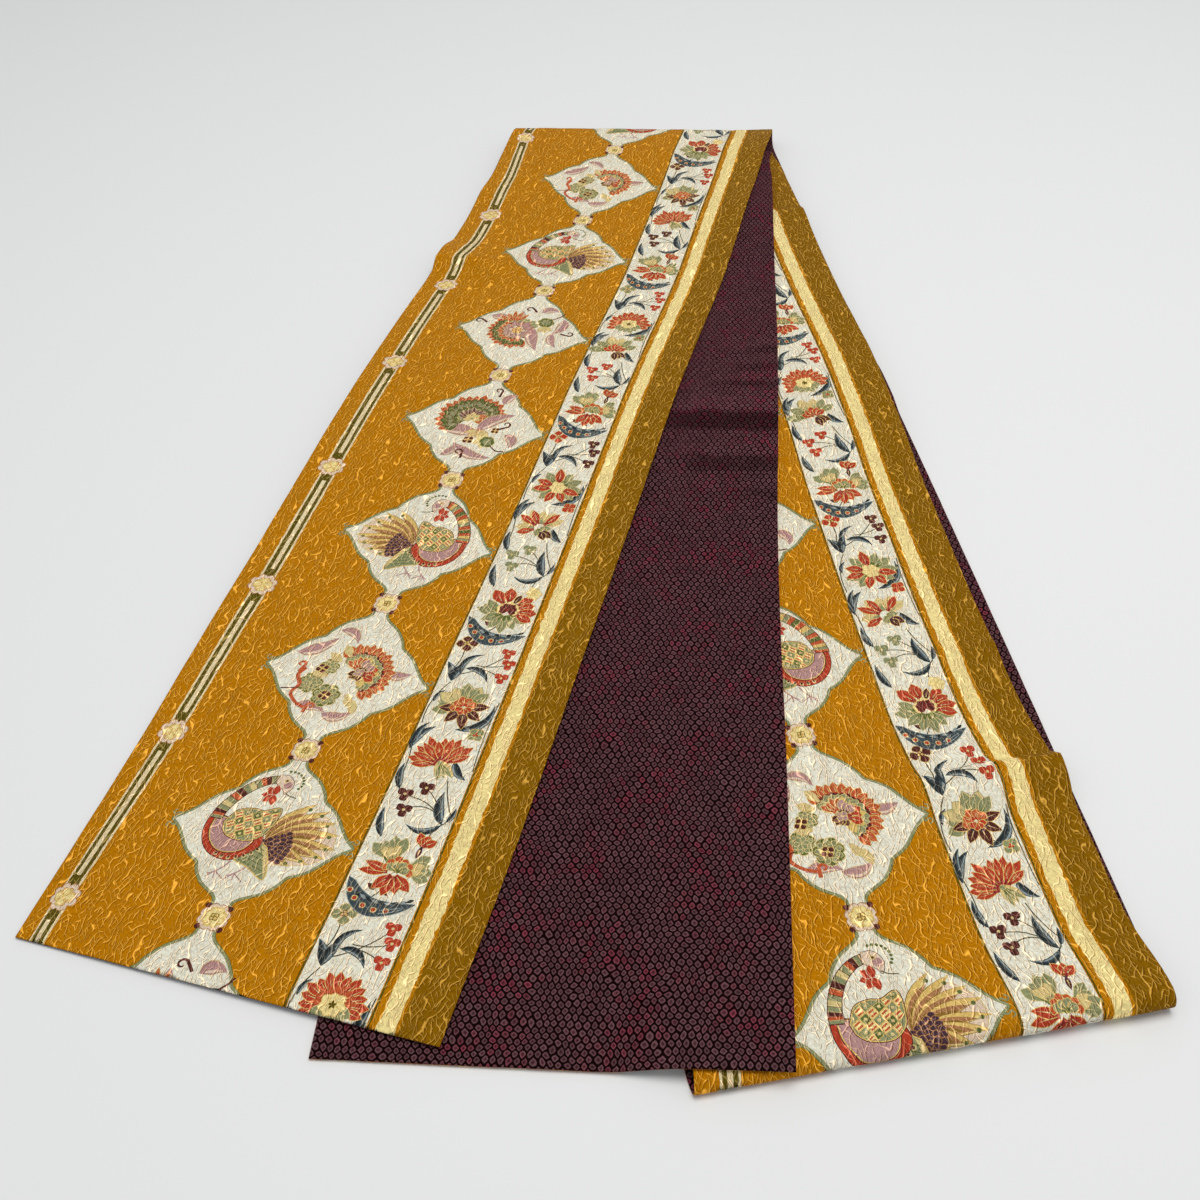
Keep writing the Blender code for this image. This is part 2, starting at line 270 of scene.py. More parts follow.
def smooth_between(x, rows, column):
    """Soft curve through one column of a station table."""
    xs = np.array([r[0] for r in rows], float) * MM
    ys = np.array([r[column] for r in rows], float) * MM
    slope = np.gradient(ys, xs)
    k = np.clip(np.searchsorted(xs, x) - 1, 0, len(xs) - 2)
    h = xs[k + 1] - xs[k]
    t = np.clip((x - xs[k]) / h, 0, 1)
    return ((2 * t**3 - 3 * t**2 + 1) * ys[k] + (t**3 - 2 * t**2 + t) * h * slope[k]
            + (3 * t**2 - 2 * t**3) * ys[k + 1] + (t**3 - t**2) * h * slope[k + 1])


def soft(x):
    """Zero below 0, one above 1, with a soft rise between."""
    x = np.clip(x, 0, 1)
    return x * x * (3 - 2 * x)


def crease_height(name, u, v):
    """How far the creases lift a stretch at u across and v along it."""
    z = np.zeros_like(v)
    for stretch, at, high, near, far, edge, fade in CREASES:
        if stretch != name:
            continue
        side = u if edge == "left" else 1 - u
        strength = 1 - soft(side / fade)
        x = v - at * MM
        rise = np.where(x < 0, 1 + x / (near * MM), 1 - x / (far * MM))
        z += high * MM * strength * soft(rise)
    return z


EVEN_ROWS = 20               # rows of a stretch before its creases add theirs
SHORTEST_ROW = 9 * MM


def stretch_rows(name, near, far):
    """Distances along the stretch at both edges, one pair for each row."""
    length = 0.5 * (far[0] + far[1]) - 0.5 * (near[0] + near[1])
    marks = set(np.linspace(0, 1, EVEN_ROWS).round(4))
    for row in CREASES:
        if row[0] == name:
            for part in (row[1] - row[3], row[1], row[1] + row[4]):
                marks.add(round((part * MM - 0.5 * (near[0] + near[1])) / length, 4))
    marks = sorted(m for m in marks if 0 <= m <= 1)
    kept = [0.0]
    for m in marks[1:]:
        if (m - kept[-1]) * length >= SHORTEST_ROW:
            kept.append(m)
    if kept[-1] != 1.0:
        if (1.0 - kept[-1]) * length < SHORTEST_ROW:
            kept.pop()
        kept.append(1.0)
    kept = np.array(kept)
    return near[0] + (far[0] - near[0]) * kept, near[1] + (far[1] - near[1]) * kept


def lay(name, near, far, below):
    """Middle layer of one stretch as rows of points, resting on `below`."""
    d, w = heading(name)
    left, right = stretch_rows(name, near, far)
    u = np.linspace(0, 1, COLUMNS + 1)[None, :]
    v = left[:, None] * (1 - u) + right[:, None] * u
    rows = STATIONS[name]
    z = (smooth_between(v, rows, 3) * (1 - u) + smooth_between(v, rows, 4) * u
         + crease_height(name, u + 0 * v, v))
    sway = smooth_between(v, rows, 1) * (1 - u) + smooth_between(v, rows, 2) * u
    side = u * WIDTH + sway
    xy = corner(name) + side[..., None] * w + v[..., None] * d
    return rest_on(np.dstack([xy, z]), below)


def bend(top, low, fold, away):
    """Rows of the bend that joins the last row of `top` to the first of `low`."""
    reach = np.linspace(*FOLD_REACH[fold], top.shape[0])[:, None] * MM
    half = 0.5 * (top[:, 2] - low[:, 2])
    middle = 0.5 * (top[:, 2] + low[:, 2])
    quarter = np.linspace(math.pi / 2, FOLD_PART, FOLD_FACETS + 1)[1:]
    angles = np.concatenate([quarter, -quarter[::-1]])
    rows = []
    for a in angles:
        share = 0.5 - a / math.pi
        flat = top[:, :2] * (1 - share) + low[:, :2] * share + away * reach * math.cos(a)
        rows.append(np.column_stack([flat, middle + half * math.sin(a)]))
    return np.array(rows)


class Below:
    """Height of the top of everything laid so far, on a square grid."""

    def __init__(self):
        self.x0, self.y0 = -0.60, 0.25       # metres, in the axes of STRETCHES
        self.top = np.zeros((260, 320))      # 1.3 m by 1.6 m of cells

    def cell(self, x, y):
        """Row and column of the grid at a place."""
        i = np.clip(((x - self.x0) / TABLE_CELL).astype(int), 0, self.top.shape[0] - 1)
        j = np.clip(((y - self.y0) / TABLE_CELL).astype(int), 0, self.top.shape[1] - 1)
        return i, j

    def add(self, sheet):
        """Raise the grid to the top of a sheet of points, feeling inside each facet."""
        parts = np.linspace(0, 1, 13)
        a, b = np.meshgrid(parts, parts, indexing="ij")
        p = [sheet[:-1, :-1], sheet[1:, :-1], sheet[:-1, 1:], sheet[1:, 1:]]
        share = [(1 - a) * (1 - b), a * (1 - b), (1 - a) * b, a * b]
        q = sum(s[None, None, :, :, None] * c[:, :, None, None, :]
                for s, c in zip(share, p)).reshape(-1, 3)
        i, j = self.cell(q[:, 0], q[:, 1])
        np.maximum.at(self.top, (i, j), q[:, 2] + 0.5 * PLY)

    def under(self, x, y):
        """Highest top in and beside the cell at a place."""
        i, j = self.cell(x, y)
        z = self.top[i, j]
        for di in (-1, 0, 1):
            for dj in (-1, 0, 1):
                z = np.maximum(z, self.top[np.clip(i + di, 0, self.top.shape[0] - 1),
                                           np.clip(j + dj, 0, self.top.shape[1] - 1)])
        return z


LIFTS, SOFT_LIFTS = 60, 40   # tries at clearing what lies below, the first ones softened
CLEAR_ENOUGH = 0.02 * MM     # what may be left to lift when the tries end early


def rest_on(sheet, below):
    """Lift a sheet where it would sink into what it lies on."""
    parts = np.linspace(0, 1, 7)
    a, b = np.meshgrid(parts, parts, indexing="ij")
    share = [(1 - a) * (1 - b), a * (1 - b), (1 - a) * b, a * b]
    corners = ((0, 0), (1, 0), (0, 1), (1, 1))
    n, m = sheet.shape[:2]

    def view(s, c):
        return s[c[0]:n - 1 + c[0], c[1]:m - 1 + c[1]]

    for step in range(LIFTS):
        q = sum(s[None, None, :, :, None] * view(sheet, c)[:, :, None, None, :]
                for s, c in zip(share, corners))
        floor = below.under(q[..., 0], q[..., 1])
        clear = np.where(floor > 0, REST_GAP, 0.0) + 0.5 * PLY
        short = np.maximum(floor + clear - q[..., 2], 0)
        lift = np.zeros((n, m))
        for s, c in zip(share, corners):
            need = (short * s[None, None]).max(axis=(2, 3))
            np.maximum(view(lift, c), need, out=view(lift, c))
        if lift.max() < CLEAR_ENOUGH:
            break
        sheet = sheet.copy()
        sheet[..., 2] += lift
        if step < SOFT_LIFTS:
            soften = lift.copy()
            soften[1:-1] = 0.25 * (lift[:-2] + 2 * lift[1:-1] + lift[2:])
            sheet[..., 2] += 0.3 * np.maximum(soften - lift, 0)
    return sheet


def whole_strip():
    """The middle layer from the first finished end to the second, and each part's rows."""
    below = Below()
    under = lay("under", along_of("under", FRONT, "front", -1),
                along_of("under", OUTER, "outer"), below)
    below.add(under)
    right = lay("right", along_of("right", FRONT, "front", -1),
                along_of("right", INNER, "inner"), below)
    front = bend(right[0], under[0], "front", outward(FRONT, -1))
    below.add(right)
    below.add(np.concatenate([right[:1], front[:FOLD_FACETS]]))
    centre = lay("centre", (0.0, END_SKEW["centre"] * MM),
                 along_of("centre", INNER, "inner"), below)
    # the bend stands open by its own reach
    open_by = 2 * FOLD_REACH["inner"][0] * MM - (centre[-1, :, 2] - right[-1, :, 2])
    for k, share in ((-1, 1.0), (-2, 0.75), (-3, 0.35), (-4, 0.1)):
        centre[k, :, 2] += share * np.maximum(open_by, 0)
    inner = bend(centre[-1], right[-1], "inner", outward(INNER))
    below.add(centre)
    below.add(np.concatenate([centre[-1:], inner[:FOLD_FACETS]]))
    left = lay("left", (0.0, END_SKEW["left"] * MM),
               along_of("left", OUTER, "outer"), below)
    outer = bend(left[-1], under[-1], "outer", outward(OUTER))
    rows = [left, outer, under[::-1], front[::-1], right, inner[::-1], centre[::-1]]
    return np.concatenate(rows), [len(r) for r in rows]


# The strip's middle layer as rows of nine points, centred as the solids are,
# and the length along the weave, in mm, at both edges of every row.  It starts
# at the left stretch's finished end; the right stretch starts at RIGHT_START.
RIGHT_START = 2412.0
grid, counts = whole_strip()
marks = np.cumsum([0] + counts)
weave = np.zeros((len(grid), 2))
for edge in (0, 1):
    line = grid[:, COLUMNS * edge]
    run = np.linalg.norm(np.diff(line, axis=0), axis=1) / MM
    run = np.concatenate([[0], np.cumsum(run)])
    for name, first, last, start in (("left", marks[0], marks[1], 0.0),
                                     ("right", marks[4], marks[5], RIGHT_START)):
        level = line[first:last, :2] - corner(name)
        weave[first:last, edge] = start + level @ heading(name)[0] / MM
    a, b, c, d = marks[1] - 1, marks[4], marks[2], marks[3]
    weave[a:c, edge] = weave[a, edge] + run[a:c] - run[a]
    weave[d:b + 1, edge] = weave[b, edge] + run[d:b + 1] - run[b]
    weave[c - 1:d + 1, edge] = np.interp(run[c - 1:d + 1], run[[c - 1, d]],
                                         weave[[c - 1, d], edge])
    weave[marks[5] - 1:, edge] = weave[marks[5] - 1, edge] + run[marks[5] - 1:] - run[marks[5] - 1]
side = np.cross(np.gradient(grid, axis=1), np.gradient(grid, axis=0))
side /= np.linalg.norm(side, axis=2, keepdims=True)
shell = np.concatenate([grid + side * 0.5 * PLY, grid - side * 0.5 * PLY])
low, high = shell.min(axis=(0, 1)), shell.max(axis=(0, 1))
shift = np.array([0.5 * (low[0] + high[0]), 0.5 * (low[1] + high[1]), low[2]])
grid = grid - shift

# one more row and column on every side, so that soft curves run to the edges
net = np.concatenate([2 * grid[:, :1] - grid[:, 1:2], grid, 2 * grid[:, -1:] - grid[:, -2:-1]],
                     axis=1)
net = np.concatenate([2 * net[:1] - net[1:2], net, 2 * net[-1:] - net[-2:-1]])
lines = np.concatenate([2 * weave[:1] - weave[1:2], weave, 2 * weave[-1:] - weave[-2:-1]])


def middle_layer(x, y):
    """Points of the middle layer at x mm across and y mm along the weave."""
    u = np.clip(x / (WIDTH / MM), 0, 1)
    out = np.zeros((len(x), 3))
    for part in np.array_split(np.arange(len(x)), len(x) // 8000 + 1):   # saves memory
        up, yp = u[part], y[part]
        rows = lines[:, 0][:, None] * (1 - up) + lines[:, 1][:, None] * up
        i = np.clip((rows <= yp).sum(axis=0) - 1, 1, len(lines) - 3)
        j = np.clip((up * COLUMNS).astype(int), 0, COLUMNS - 1)
        t = up * COLUMNS - j
        blend = (0.5 * (-t + 2 * t**2 - t**3), 0.5 * (2 - 5 * t**2 + 3 * t**3),
                 0.5 * (t + 4 * t**2 - 3 * t**3), 0.5 * (t**3 - t**2))
        p = [sum(w[:, None] * net[i + k, j + c] for c, w in enumerate(blend))
             for k in (-1, 0, 1, 2)]
        here = np.arange(len(part))
        at = [rows[i + k, here] for k in (-1, 0, 1, 2)]
        h = [np.maximum(b - a, 0.05)[:, None] for a, b in zip(at, at[1:])]
        slope = [(b - a) / w for a, b, w in zip(p, p[1:], h)]
        m1, m2 = [(w1 * s0 + w0 * s1) / (w0 + w1)
                  for s0, s1, w0, w1 in zip(slope, slope[1:], h, h[1:])]
        for m, s0, s1 in ((m1, slope[0], slope[1]), (m2, slope[1], slope[2])):
            both = s0[:, 2] * s1[:, 2]       # heights never swing past a row's own
            m[:, 2] = np.where(both > 0, 2 * both / (s0[:, 2] + s1[:, 2] + 1e-30), 0)
        s = ((yp - at[1])[:, None] / h[1])
        out[part] = ((2 * s**3 - 3 * s**2 + 1) * p[1] + (s**3 - 2 * s**2 + s) * h[1] * m1
                     + (3 * s**2 - 2 * s**3) * p[2] + (s**3 - s**2) * h[1] * m2)
    return out


PUCKER = ((26.0, 0.42), (11.0, 0.16))    # mm apart, mm high: soft puckers

# Soft ripples across the second stretch, where it isn't covered.  Lengths are
# in mm from its finished end: each rises from foot to crest and sinks to end.
FINISHED_END = float(weave[-1].mean())
RIPPLES = (
    # foot, crest, end, high, starts at this part of the width
    (527, 541, 556, 0.5, 0.84),
    (560, 583, 613, 1.0, 0.67),
    (616, 643, 680, 2.0, 0.60),
    (680, 692, 706, 0.6, 0.76),
    (706, 718, 734, 0.6, 0.82),
    (734, 747, 765, 0.5, 0.86),
)


def ripple_height(x, y):
    """How far, in mm, the ripples lift both cloths, clear of the cover's edge."""
    u, v = x / (WIDTH / MM), FINISHED_END - y
    cover = 0.60 + 0.000575 * (v - 500)      # part of the width that is covered there
    high = np.zeros(len(x))
    for foot, crest, end, tall, starts in RIPPLES:
        up = np.minimum(soft((v - foot) / (crest - foot)), soft((end - v) / (end - crest)))
        high += tall * up * soft((u - starts) / 0.15)
    return high * soft((u - cover) / 0.08)


def cloth_surface(x, y, offset):
    """Points at an offset, in mm, from the middle layer on the face's side."""
    centre = middle_layer(x, y)
    aside = 1.2                              # mm, where the slope is felt
    x0, x1 = np.maximum(x - aside, 0), np.minimum(x + aside, WIDTH / MM)
    du = middle_layer(x1, y) - middle_layer(x0, y)
    dv = middle_layer(x, y + aside) - middle_layer(x, y - aside)
    out = np.cross(du, dv)
    out /= np.maximum(np.linalg.norm(out, axis=1, keepdims=True), 1e-12)
    pucker = np.array([sum(high * noise.noise(Vector((a / apart, b / (1.4 * apart), 3.7 * apart)))
                           for apart, high in PUCKER) for a, b in zip(x, y)])
    # The second stretch lies back up, so its face's side is the lower one.
    return centre + out * ((offset + pucker - ripple_height(x, y)) * MM)[:, None]


# Where each stretch's cloths start and end, as rows between which they lie.
middle = [0.5 * (weave[marks[k] + FOLD_FACETS - 1] + weave[marks[k] + FOLD_FACETS])
          for k in (1, 3, 5)]
SPANS = {
    "left_stretch": (weave[0], middle[0]),
    "under_stretch": (middle[0], middle[1]),
    "right_stretch": (middle[1], middle[2]),
    "centre_stretch": (middle[2], weave[-1]),
}
FINISHED = {"left_stretch": 0, "centre_stretch": 1}   # which end is a finished one
EDGE_STEPS = (0.0, 0.12, 0.4, 0.85, 1.5)     # mm in from a turned edge
EDGE_ROUND = 1.4             # mm over which a cloth rounds off to its seam
SEAM = 0.12                  # mm from the middle layer to a cloth's inner side
FACET = 7.5                  # mm, longest row or column of a cloth
SAME_ROW = 0.2               # mm within which two rows are one
END_SPACE = 2.2              # mm beside a finished end that hold only EDGE_STEPS
SAME_POINT = 1e-4            # mm within which two points of the pattern are one
STRAIGHT = 0.05              # mm a point may lie off a line and be left out
LONGEST = 14                 # mm, the longest line that leaving points out makes
wide = WIDTH / MM


def slanted(row, x):
    """Length along the weave where a row that slants lies at x mm across."""
    return row[0] * (1 - x / wide) + row[1] * x / wide


def rows_of(name):
    """Rows of one stretch, as lengths along the weave at both edges."""
    start, end = SPANS[name]
    between_them = [w for w in weave if min(w - start) > SAME_ROW and min(end - w) > SAME_ROW]
    coarse = [start] + between_them + [end]
    rows = []
    for a, b in zip(coarse, coarse[1:]):
        parts = max(1, int(math.ceil(max(b - a) / FACET)))
        rows += [a + (b - a) * k / parts for k in range(parts)]
    rows.append(end)
    if name in FINISHED:
        sign, tip = ((1, start), (-1, end))[FINISHED[name]]
        rows = [r for r in rows if not 0.01 < abs(r[0] - tip[0]) <= END_SPACE]
        rows += [tip + sign * step for step in EDGE_STEPS[1:]]
        rows.sort(key=lambda r: r[0])
    return np.array(rows)


def edge_distance(name, x, y):
    """Millimetres from the nearest turned edge."""
    near = np.minimum(x, wide - x)
    if name in FINISHED:
        near = np.minimum(near, np.abs(y - slanted(SPANS[name][FINISHED[name]], x)))
    return near


def within(flat, tris, rows):
    """Which triangles lie between a first and a last row."""
    x, y = flat[tris].mean(axis=1).T
    return (x > 0) & (x < wide) & (y > slanted(rows[0], x)) & (y < slanted(rows[1], x))


def outlines(shapes):
    """Flat mesh of overlapping dyed shapes, and the top one's yarn in each triangle."""
    at, faces, yarns = [], [], []
    for yarn, outline in shapes:
        x, y = outline[:, 0], outline[:, 1]
        if np.dot(x, np.roll(y, -1)) < np.dot(y, np.roll(x, -1)):
            outline = outline[::-1]
        faces.append(list(range(len(at), len(at) + len(outline))))
        at += [Vector(p) for p in outline]
        yarns.append(list(YARN).index(yarn))
    flat, _, tris, _, _, owners = delaunay_2d_cdt(at, [], faces, 0, SAME_POINT, True)
    flat, tris = np.array(flat), np.array(tris)
    boxes = [(*p.min(axis=0), *p.max(axis=0)) for _, p in shapes]
    top = []
    for (x, y), found in zip(flat[tris].mean(axis=1).tolist(), owners):
        dye_here = -1
        for k in sorted(found, reverse=True):
            x0, y0, x1, y1 = boxes[k]
            if x0 <= x <= x1 and y0 <= y <= y1:
                dye_here = yarns[k]
                break
        top.append(dye_here)
    return flat, tris, np.array(top)


def borders(flat, tris, top):
    """Lines between two yarns, with the points that hardly bend them left out."""
    pairs = np.concatenate([tris[:, [0, 1]], tris[:, [1, 2]], tris[:, [2, 0]]])
    tags = np.tile(top, 3)
    pairs = np.sort(pairs, axis=1)
    order = np.lexsort((pairs[:, 1], pairs[:, 0]))
    pairs, tags = pairs[order], tags[order]
    same = np.all(pairs[1:] == pairs[:-1], axis=1)
    split = pairs[1:][same & (tags[1:] != tags[:-1])]
    beside = {}
    for a, b in split.tolist():
        beside.setdefault(a, set()).add(b)
        beside.setdefault(b, set()).add(a)
    where = flat.tolist()
    for turn in range(3):
        for k in list(beside):
            if len(beside[k]) == 2:
                a, b = beside[k]
                (ax, ay), (bx, by), (kx, ky) = where[a], where[b], where[k]
                run = math.hypot(bx - ax, by - ay)
                off = abs((bx - ax) * (ky - ay) - (by - ay) * (kx - ax))
                if b not in beside[a] and 1e-6 < run < LONGEST and off < STRAIGHT * run:
                    beside[a].remove(k)
                    beside[b].remove(k)
                    beside[a].add(b)
                    beside[b].add(a)
                    del beside[k]
    spot = {k: n for n, k in enumerate(beside)}
    edges = [(spot[a], spot[b]) for a in beside for b in beside[a] if a < b]
    return flat[list(beside)], edges


def yarn_under(spots, drawn):
    """Number of the yarn at each of many flat places; -1 is the ground."""
    flat, tris, yarns = drawn
    sheet = BVHTree.FromPolygons([(x, y, 0) for x, y in flat.tolist()], tris.tolist())
    down = Vector((0, 0, -1))
    hits = [sheet.ray_cast(Vector((x, y, 1)), down)[2] for x, y in spots.tolist()]
    return np.array([-1 if hit is None else yarns[hit] for hit in hits])


def rim_of(tris):
    """Points round the rim of a flat mesh, in order: its edges have one triangle."""
    pairs = np.concatenate([tris[:, [0, 1]], tris[:, [1, 2]], tris[:, [2, 0]]])
    _, first, count = np.unique(np.sort(pairs, axis=1), axis=0, return_index=True,
                                return_counts=True)
    follow = dict(pairs[first[count == 1]].tolist())
    start = next(iter(follow))
    loop = [start]
    while follow[loop[-1]] != start:
        loop.append(follow[loop[-1]])
    return np.array(loop)


def outer_side(stretch, rows, drawn):
    """Flat points and triangles of a cloth's outer side, cut where yarns change."""
    columns = (list(EDGE_STEPS) + list(np.linspace(5, wide - 5, int(wide / FACET)))
               + [wide - step for step in EDGE_STEPS[::-1]])
    points = np.array([(x, slanted(row, x)) for row in rows for x in columns])
    n, m = len(rows), len(columns)
    ring = (list(range(m)) + [i * m + m - 1 for i in range(1, n)]
            + [(n - 1) * m + j for j in range(m - 2, -1, -1)]
            + [i * m for i in range(n - 2, 0, -1)])
    edges = list(zip(ring, ring[1:] + ring[:1]))
    if drawn:
        marked, lines_between = borders(*drawn)
        edges += [(a + len(points), b + len(points)) for a, b in lines_between]
        points = np.vstack([points, marked])
    flat, _, tris = delaunay_2d_cdt([Vector(p) for p in points], edges, [], 0, SAME_POINT,
                                    False)[:3]
    flat, tris = np.array(flat), np.array(tris)
    used, tris = np.unique(tris[within(flat, tris, SPANS[stretch])], return_inverse=True)
    return flat[used], tris.reshape(-1, 3)


INNER_COLUMNS = 24


def inner_side(stretch, rows, rim):
    """Flat points and triangles of a cloth's hidden side, on the same rim."""
    points = [tuple(p) for p in rim] + [(x, slanted(row, x)) for row in rows[2:-2]
                                        for x in np.linspace(10, wide - 10, INNER_COLUMNS)]
    ring = list(range(len(rim)))
    flat, _, tris = delaunay_2d_cdt([Vector(p) for p in points], list(zip(ring, ring[1:] + [0])),
                                    [], 0, 1e-7, False)[:3]
    flat, tris = np.array(flat), np.array(tris)
    return flat, tris[within(flat, tris, SPANS[stretch])]


# Least height, in metres, of the outer and inner side of each cloth on the floor.
FLOOR_GAPS = {1: (0.0, 0.0003), -1: (0.0009, 0.0009)}


def cloth(name, stretch, facing, chart):
    """One closed thin cloth of a stretch; facing is 1 for the face, -1 for the back."""
    rows = rows_of(stretch)
    low, high = rows.min() - 3, rows.max() + 3           # the pattern's part, with 3 mm to spare
    near = [(c, p) for c, p in chart if p[:, 1].max() > low and p[:, 1].min() < high]
    drawn = outlines(near) if near else None
    flat, tris = outer_side(stretch, rows, drawn)
    loop = rim_of(tris)
    inner_flat, inner_tris = inner_side(stretch, rows, flat[loop])
    outer, extra = len(flat), len(inner_flat) - len(loop)
    everything = np.vstack([flat, inner_flat[len(loop):]])
    number = np.concatenate([loop, outer + np.arange(extra)])
    faces = np.concatenate([tris, number[inner_tris][:, ::-1]])
    if facing < 0:
        faces = faces[:, ::-1]
    x, y = everything.T
    turn = np.clip(1 - edge_distance(stretch, x, y) / EDGE_ROUND, 0, 1)
    offset = SEAM + (0.5 * PLY / MM - SEAM) * np.sqrt(1 - turn ** 2)
    offset[outer:] = SEAM
    place = cloth_surface(x, y, facing * offset)
    if stretch == "under_stretch":
        shown, hidden = FLOOR_GAPS[facing]
        least = np.where(np.arange(len(place)) < outer, shown, hidden)
        place[:, 2] = np.maximum(place[:, 2], least)
    place[:, 2] = np.maximum(place[:, 2], 0)
    mesh = bpy.data.meshes.new(name)
    mesh.from_pydata(place, [], faces.tolist())
    mesh.polygons.foreach_set("use_smooth", [True] * len(faces))
    weft = mesh.uv_layers.new(name="weave")
    weft.data.foreach_set("uv", (everything[faces.ravel()] * MM).astype(np.float32).ravel())
    if drawn:
        top = yarn_under(flat[tris].mean(axis=1), drawn)
        colours = np.array(list(YARN.values()) + [YARN[GROUND]])
        chosen = np.concatenate([top, np.full(len(inner_tris), -1)])
        table = np.ones((len(faces) * 3, 4), np.float32)
        table[:, :3] = np.repeat(colours[chosen], 3, axis=0)
        dyed = mesh.attributes.new("yarn", "FLOAT_COLOR", "CORNER")
        dyed.data.foreach_set("color", table.ravel())
    mesh.validate()
    mesh.update()
    thing = bpy.data.objects.new(name, mesh)
    scene.collection.objects.link(thing)
    return thing


def lay_cloth(layer, facing, chart, material):
    """All four stretches of one cloth, dressed and put in place of the solids."""
    for stretch, (start, end) in SPANS.items():
        piece = cloth(f"{stretch}_{layer}_cloth", stretch, facing, chart)
        piece.data.materials.append(material)
        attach(piece, "root")
        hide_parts(f"{stretch}_{layer}")


# ------------------------------------------------------------ the back cloth
# Dark silk with woven spots: rows of small round rings, close together as coins
# laid flat, each with a dark middle, on a nearly black ground.  It is sewn to
# the face cloth all round and shows on the stretch that lies back up.
def node(kind, **settings):
    """A new node in the tree at hand."""
    made = tree.nodes.new(kind)
    for key, value in settings.items():
        setattr(made, key, value)
    return made


def put(target, socket, source):
    """Links a socket, or sets it to a plain value."""
    if hasattr(source, "outputs"):
        source = source.outputs[0]
    if isinstance(source, bpy.types.NodeSocket):
        tree.links.new(source, target.inputs[socket])
    else:
        target.inputs[socket].default_value = source


def maths(kind, *values, clamp=False):
    """Output of a maths node."""
    made = node("ShaderNodeMath", operation=kind, use_clamp=clamp)
    for k, value in enumerate(values):
        put(made, k, value)
    return made.outputs[0]


def vector_maths(kind, a, b=(0.0, 0.0, 0.0)):
    """Output of a vector maths node."""
    made = node("ShaderNodeVectorMath", operation=kind)
    put(made, 0, a)
    put(made, 1, b)
    return made.outputs["Value" if kind in ("LENGTH", "DOT_PRODUCT") else "Vector"]


def noise_at(where, scale, detail=1.0, rough=0.5, colour=False):
    """Soft noise over the flat cloth."""
    made = node("ShaderNodeTexNoise", noise_dimensions="2D")
    put(made, "Vector", where)
    put(made, "Scale", scale)
    put(made, "Detail", detail)
    put(made, "Roughness", rough)
    return made.outputs["Color" if colour else "Fac"]


def between(value, low, high):
    """Zero at low, one at high, with a soft rise between."""
    made = node("ShaderNodeMapRange", interpolation_type="SMOOTHSTEP")
    put(made, 0, value)
    put(made, 1, low)
    put(made, 2, high)
    return made.outputs[0]


def mixed(amount, a, b, kind="MIX"):
    """Colour a with an amount of colour b laid over it."""
    made = node("ShaderNodeMix", data_type="RGBA", blend_type=kind)
    put(made, 0, amount)
    put(made, 6, a)
    put(made, 7, b)
    return made.outputs[2]


plum = bpy.data.materials.new("plum spotted weave")
plum.use_nodes = True
tree = plum.node_tree
silk = tree.nodes["Principled BSDF"]
weft = node("ShaderNodeUVMap", uv_map="weave")
cloth_mm = vector_maths("MULTIPLY", weft, (1000.0, 1000.0, 0.0))

# Two sets of rows of rings, one set half a step aside of the other, on a cloth
# that is nowhere quite straight: every ring has its own number, and so its tint.
RING = (5.2, 9.0, 1.0)       # mm from ring to ring along a row, and over two rows
sway = vector_maths("SUBTRACT", noise_at(cloth_mm, 0.045, 1.0, 0.5, True), (0.5, 0.5, 0.5))
uneven = vector_maths("SUBTRACT", noise_at(cloth_mm, 0.2, 1.0, 0.5, True), (0.5, 0.5, 0.5))
bent = vector_maths("ADD", cloth_mm, vector_maths("MULTIPLY", sway, (6.0, 6.0, 0.0)))
bent = vector_maths("ADD", bent, vector_maths("MULTIPLY", uneven, (1.0, 1.0, 0.0)))


def ring_row(across, ahead):
    """Distance in mm to the nearest ring of every other row, and its number."""
    at = vector_maths("ADD", vector_maths("DIVIDE", bent, RING), (across, ahead, 0.0))
    part = vector_maths("SUBTRACT", vector_maths("FRACTION", at), (0.5, 0.5, 0.0))
    number = vector_maths("ADD", vector_maths("FLOOR", at), (0.3 * across, 0.7 * ahead, 0.0))
    part = vector_maths("MULTIPLY", part, RING)
    corners = vector_maths("DOT_PRODUCT", vector_maths("ABSOLUTE", part), (0.52, 0.36, 0.0))
    return maths("MULTIPLY_ADD", vector_maths("LENGTH", part), 0.5, corners), number


odd, even = ring_row(0.0, 0.0), ring_row(0.5, 0.5)
which = node("ShaderNodeMix", data_type="VECTOR")
put(which, 0, maths("LESS_THAN", odd[0], even[0]))
put(which, 4, even[1])
put(which, 5, odd[1])

# Each ring is bright at its rim and dull in its hole; some groups are redder.
own = node("ShaderNodeTexWhiteNoise", noise_dimensions="3D")
put(own, 0, which.outputs[1])
own_colour = node("ShaderNodeSeparateColor")
put(own_colour, 0, own.outputs["Color"])
away = maths("MULTIPLY_ADD", noise_at(cloth_mm, 0.45, 1.0), 0.6, maths("MINIMUM", odd[0], even[0]))
gap = between(away, 2.62, 2.12)
rim = maths("MULTIPLY", between(away, 1.15, 1.95), between(away, 2.7, 2.3))
hole = between(away, 0.45, 0.95)
reddish = maths("MULTIPLY", between(own_colour.outputs[0], 0.30, 1.0),
                between(noise_at(cloth_mm, 0.022, 2.0), 0.36, 0.66))
tint = mixed(reddish, (0.118, 0.0555, 0.0615, 1), (0.184, 0.0355, 0.053, 1))
tint = mixed(1.0, tint, maths("MULTIPLY_ADD", own_colour.outputs[1], 0.4, 0.8), "MULTIPLY")
inner = mixed(rim, mixed(1.0, tint, (0.46, 0.38, 0.40, 1), "MULTIPLY"), tint)
ring = maths("MULTIPLY", gap, maths("MULTIPLY_ADD", hole, 0.7, 0.3))
fine = noise_at(cloth_mm, 1.1, 2.0, 0.7)
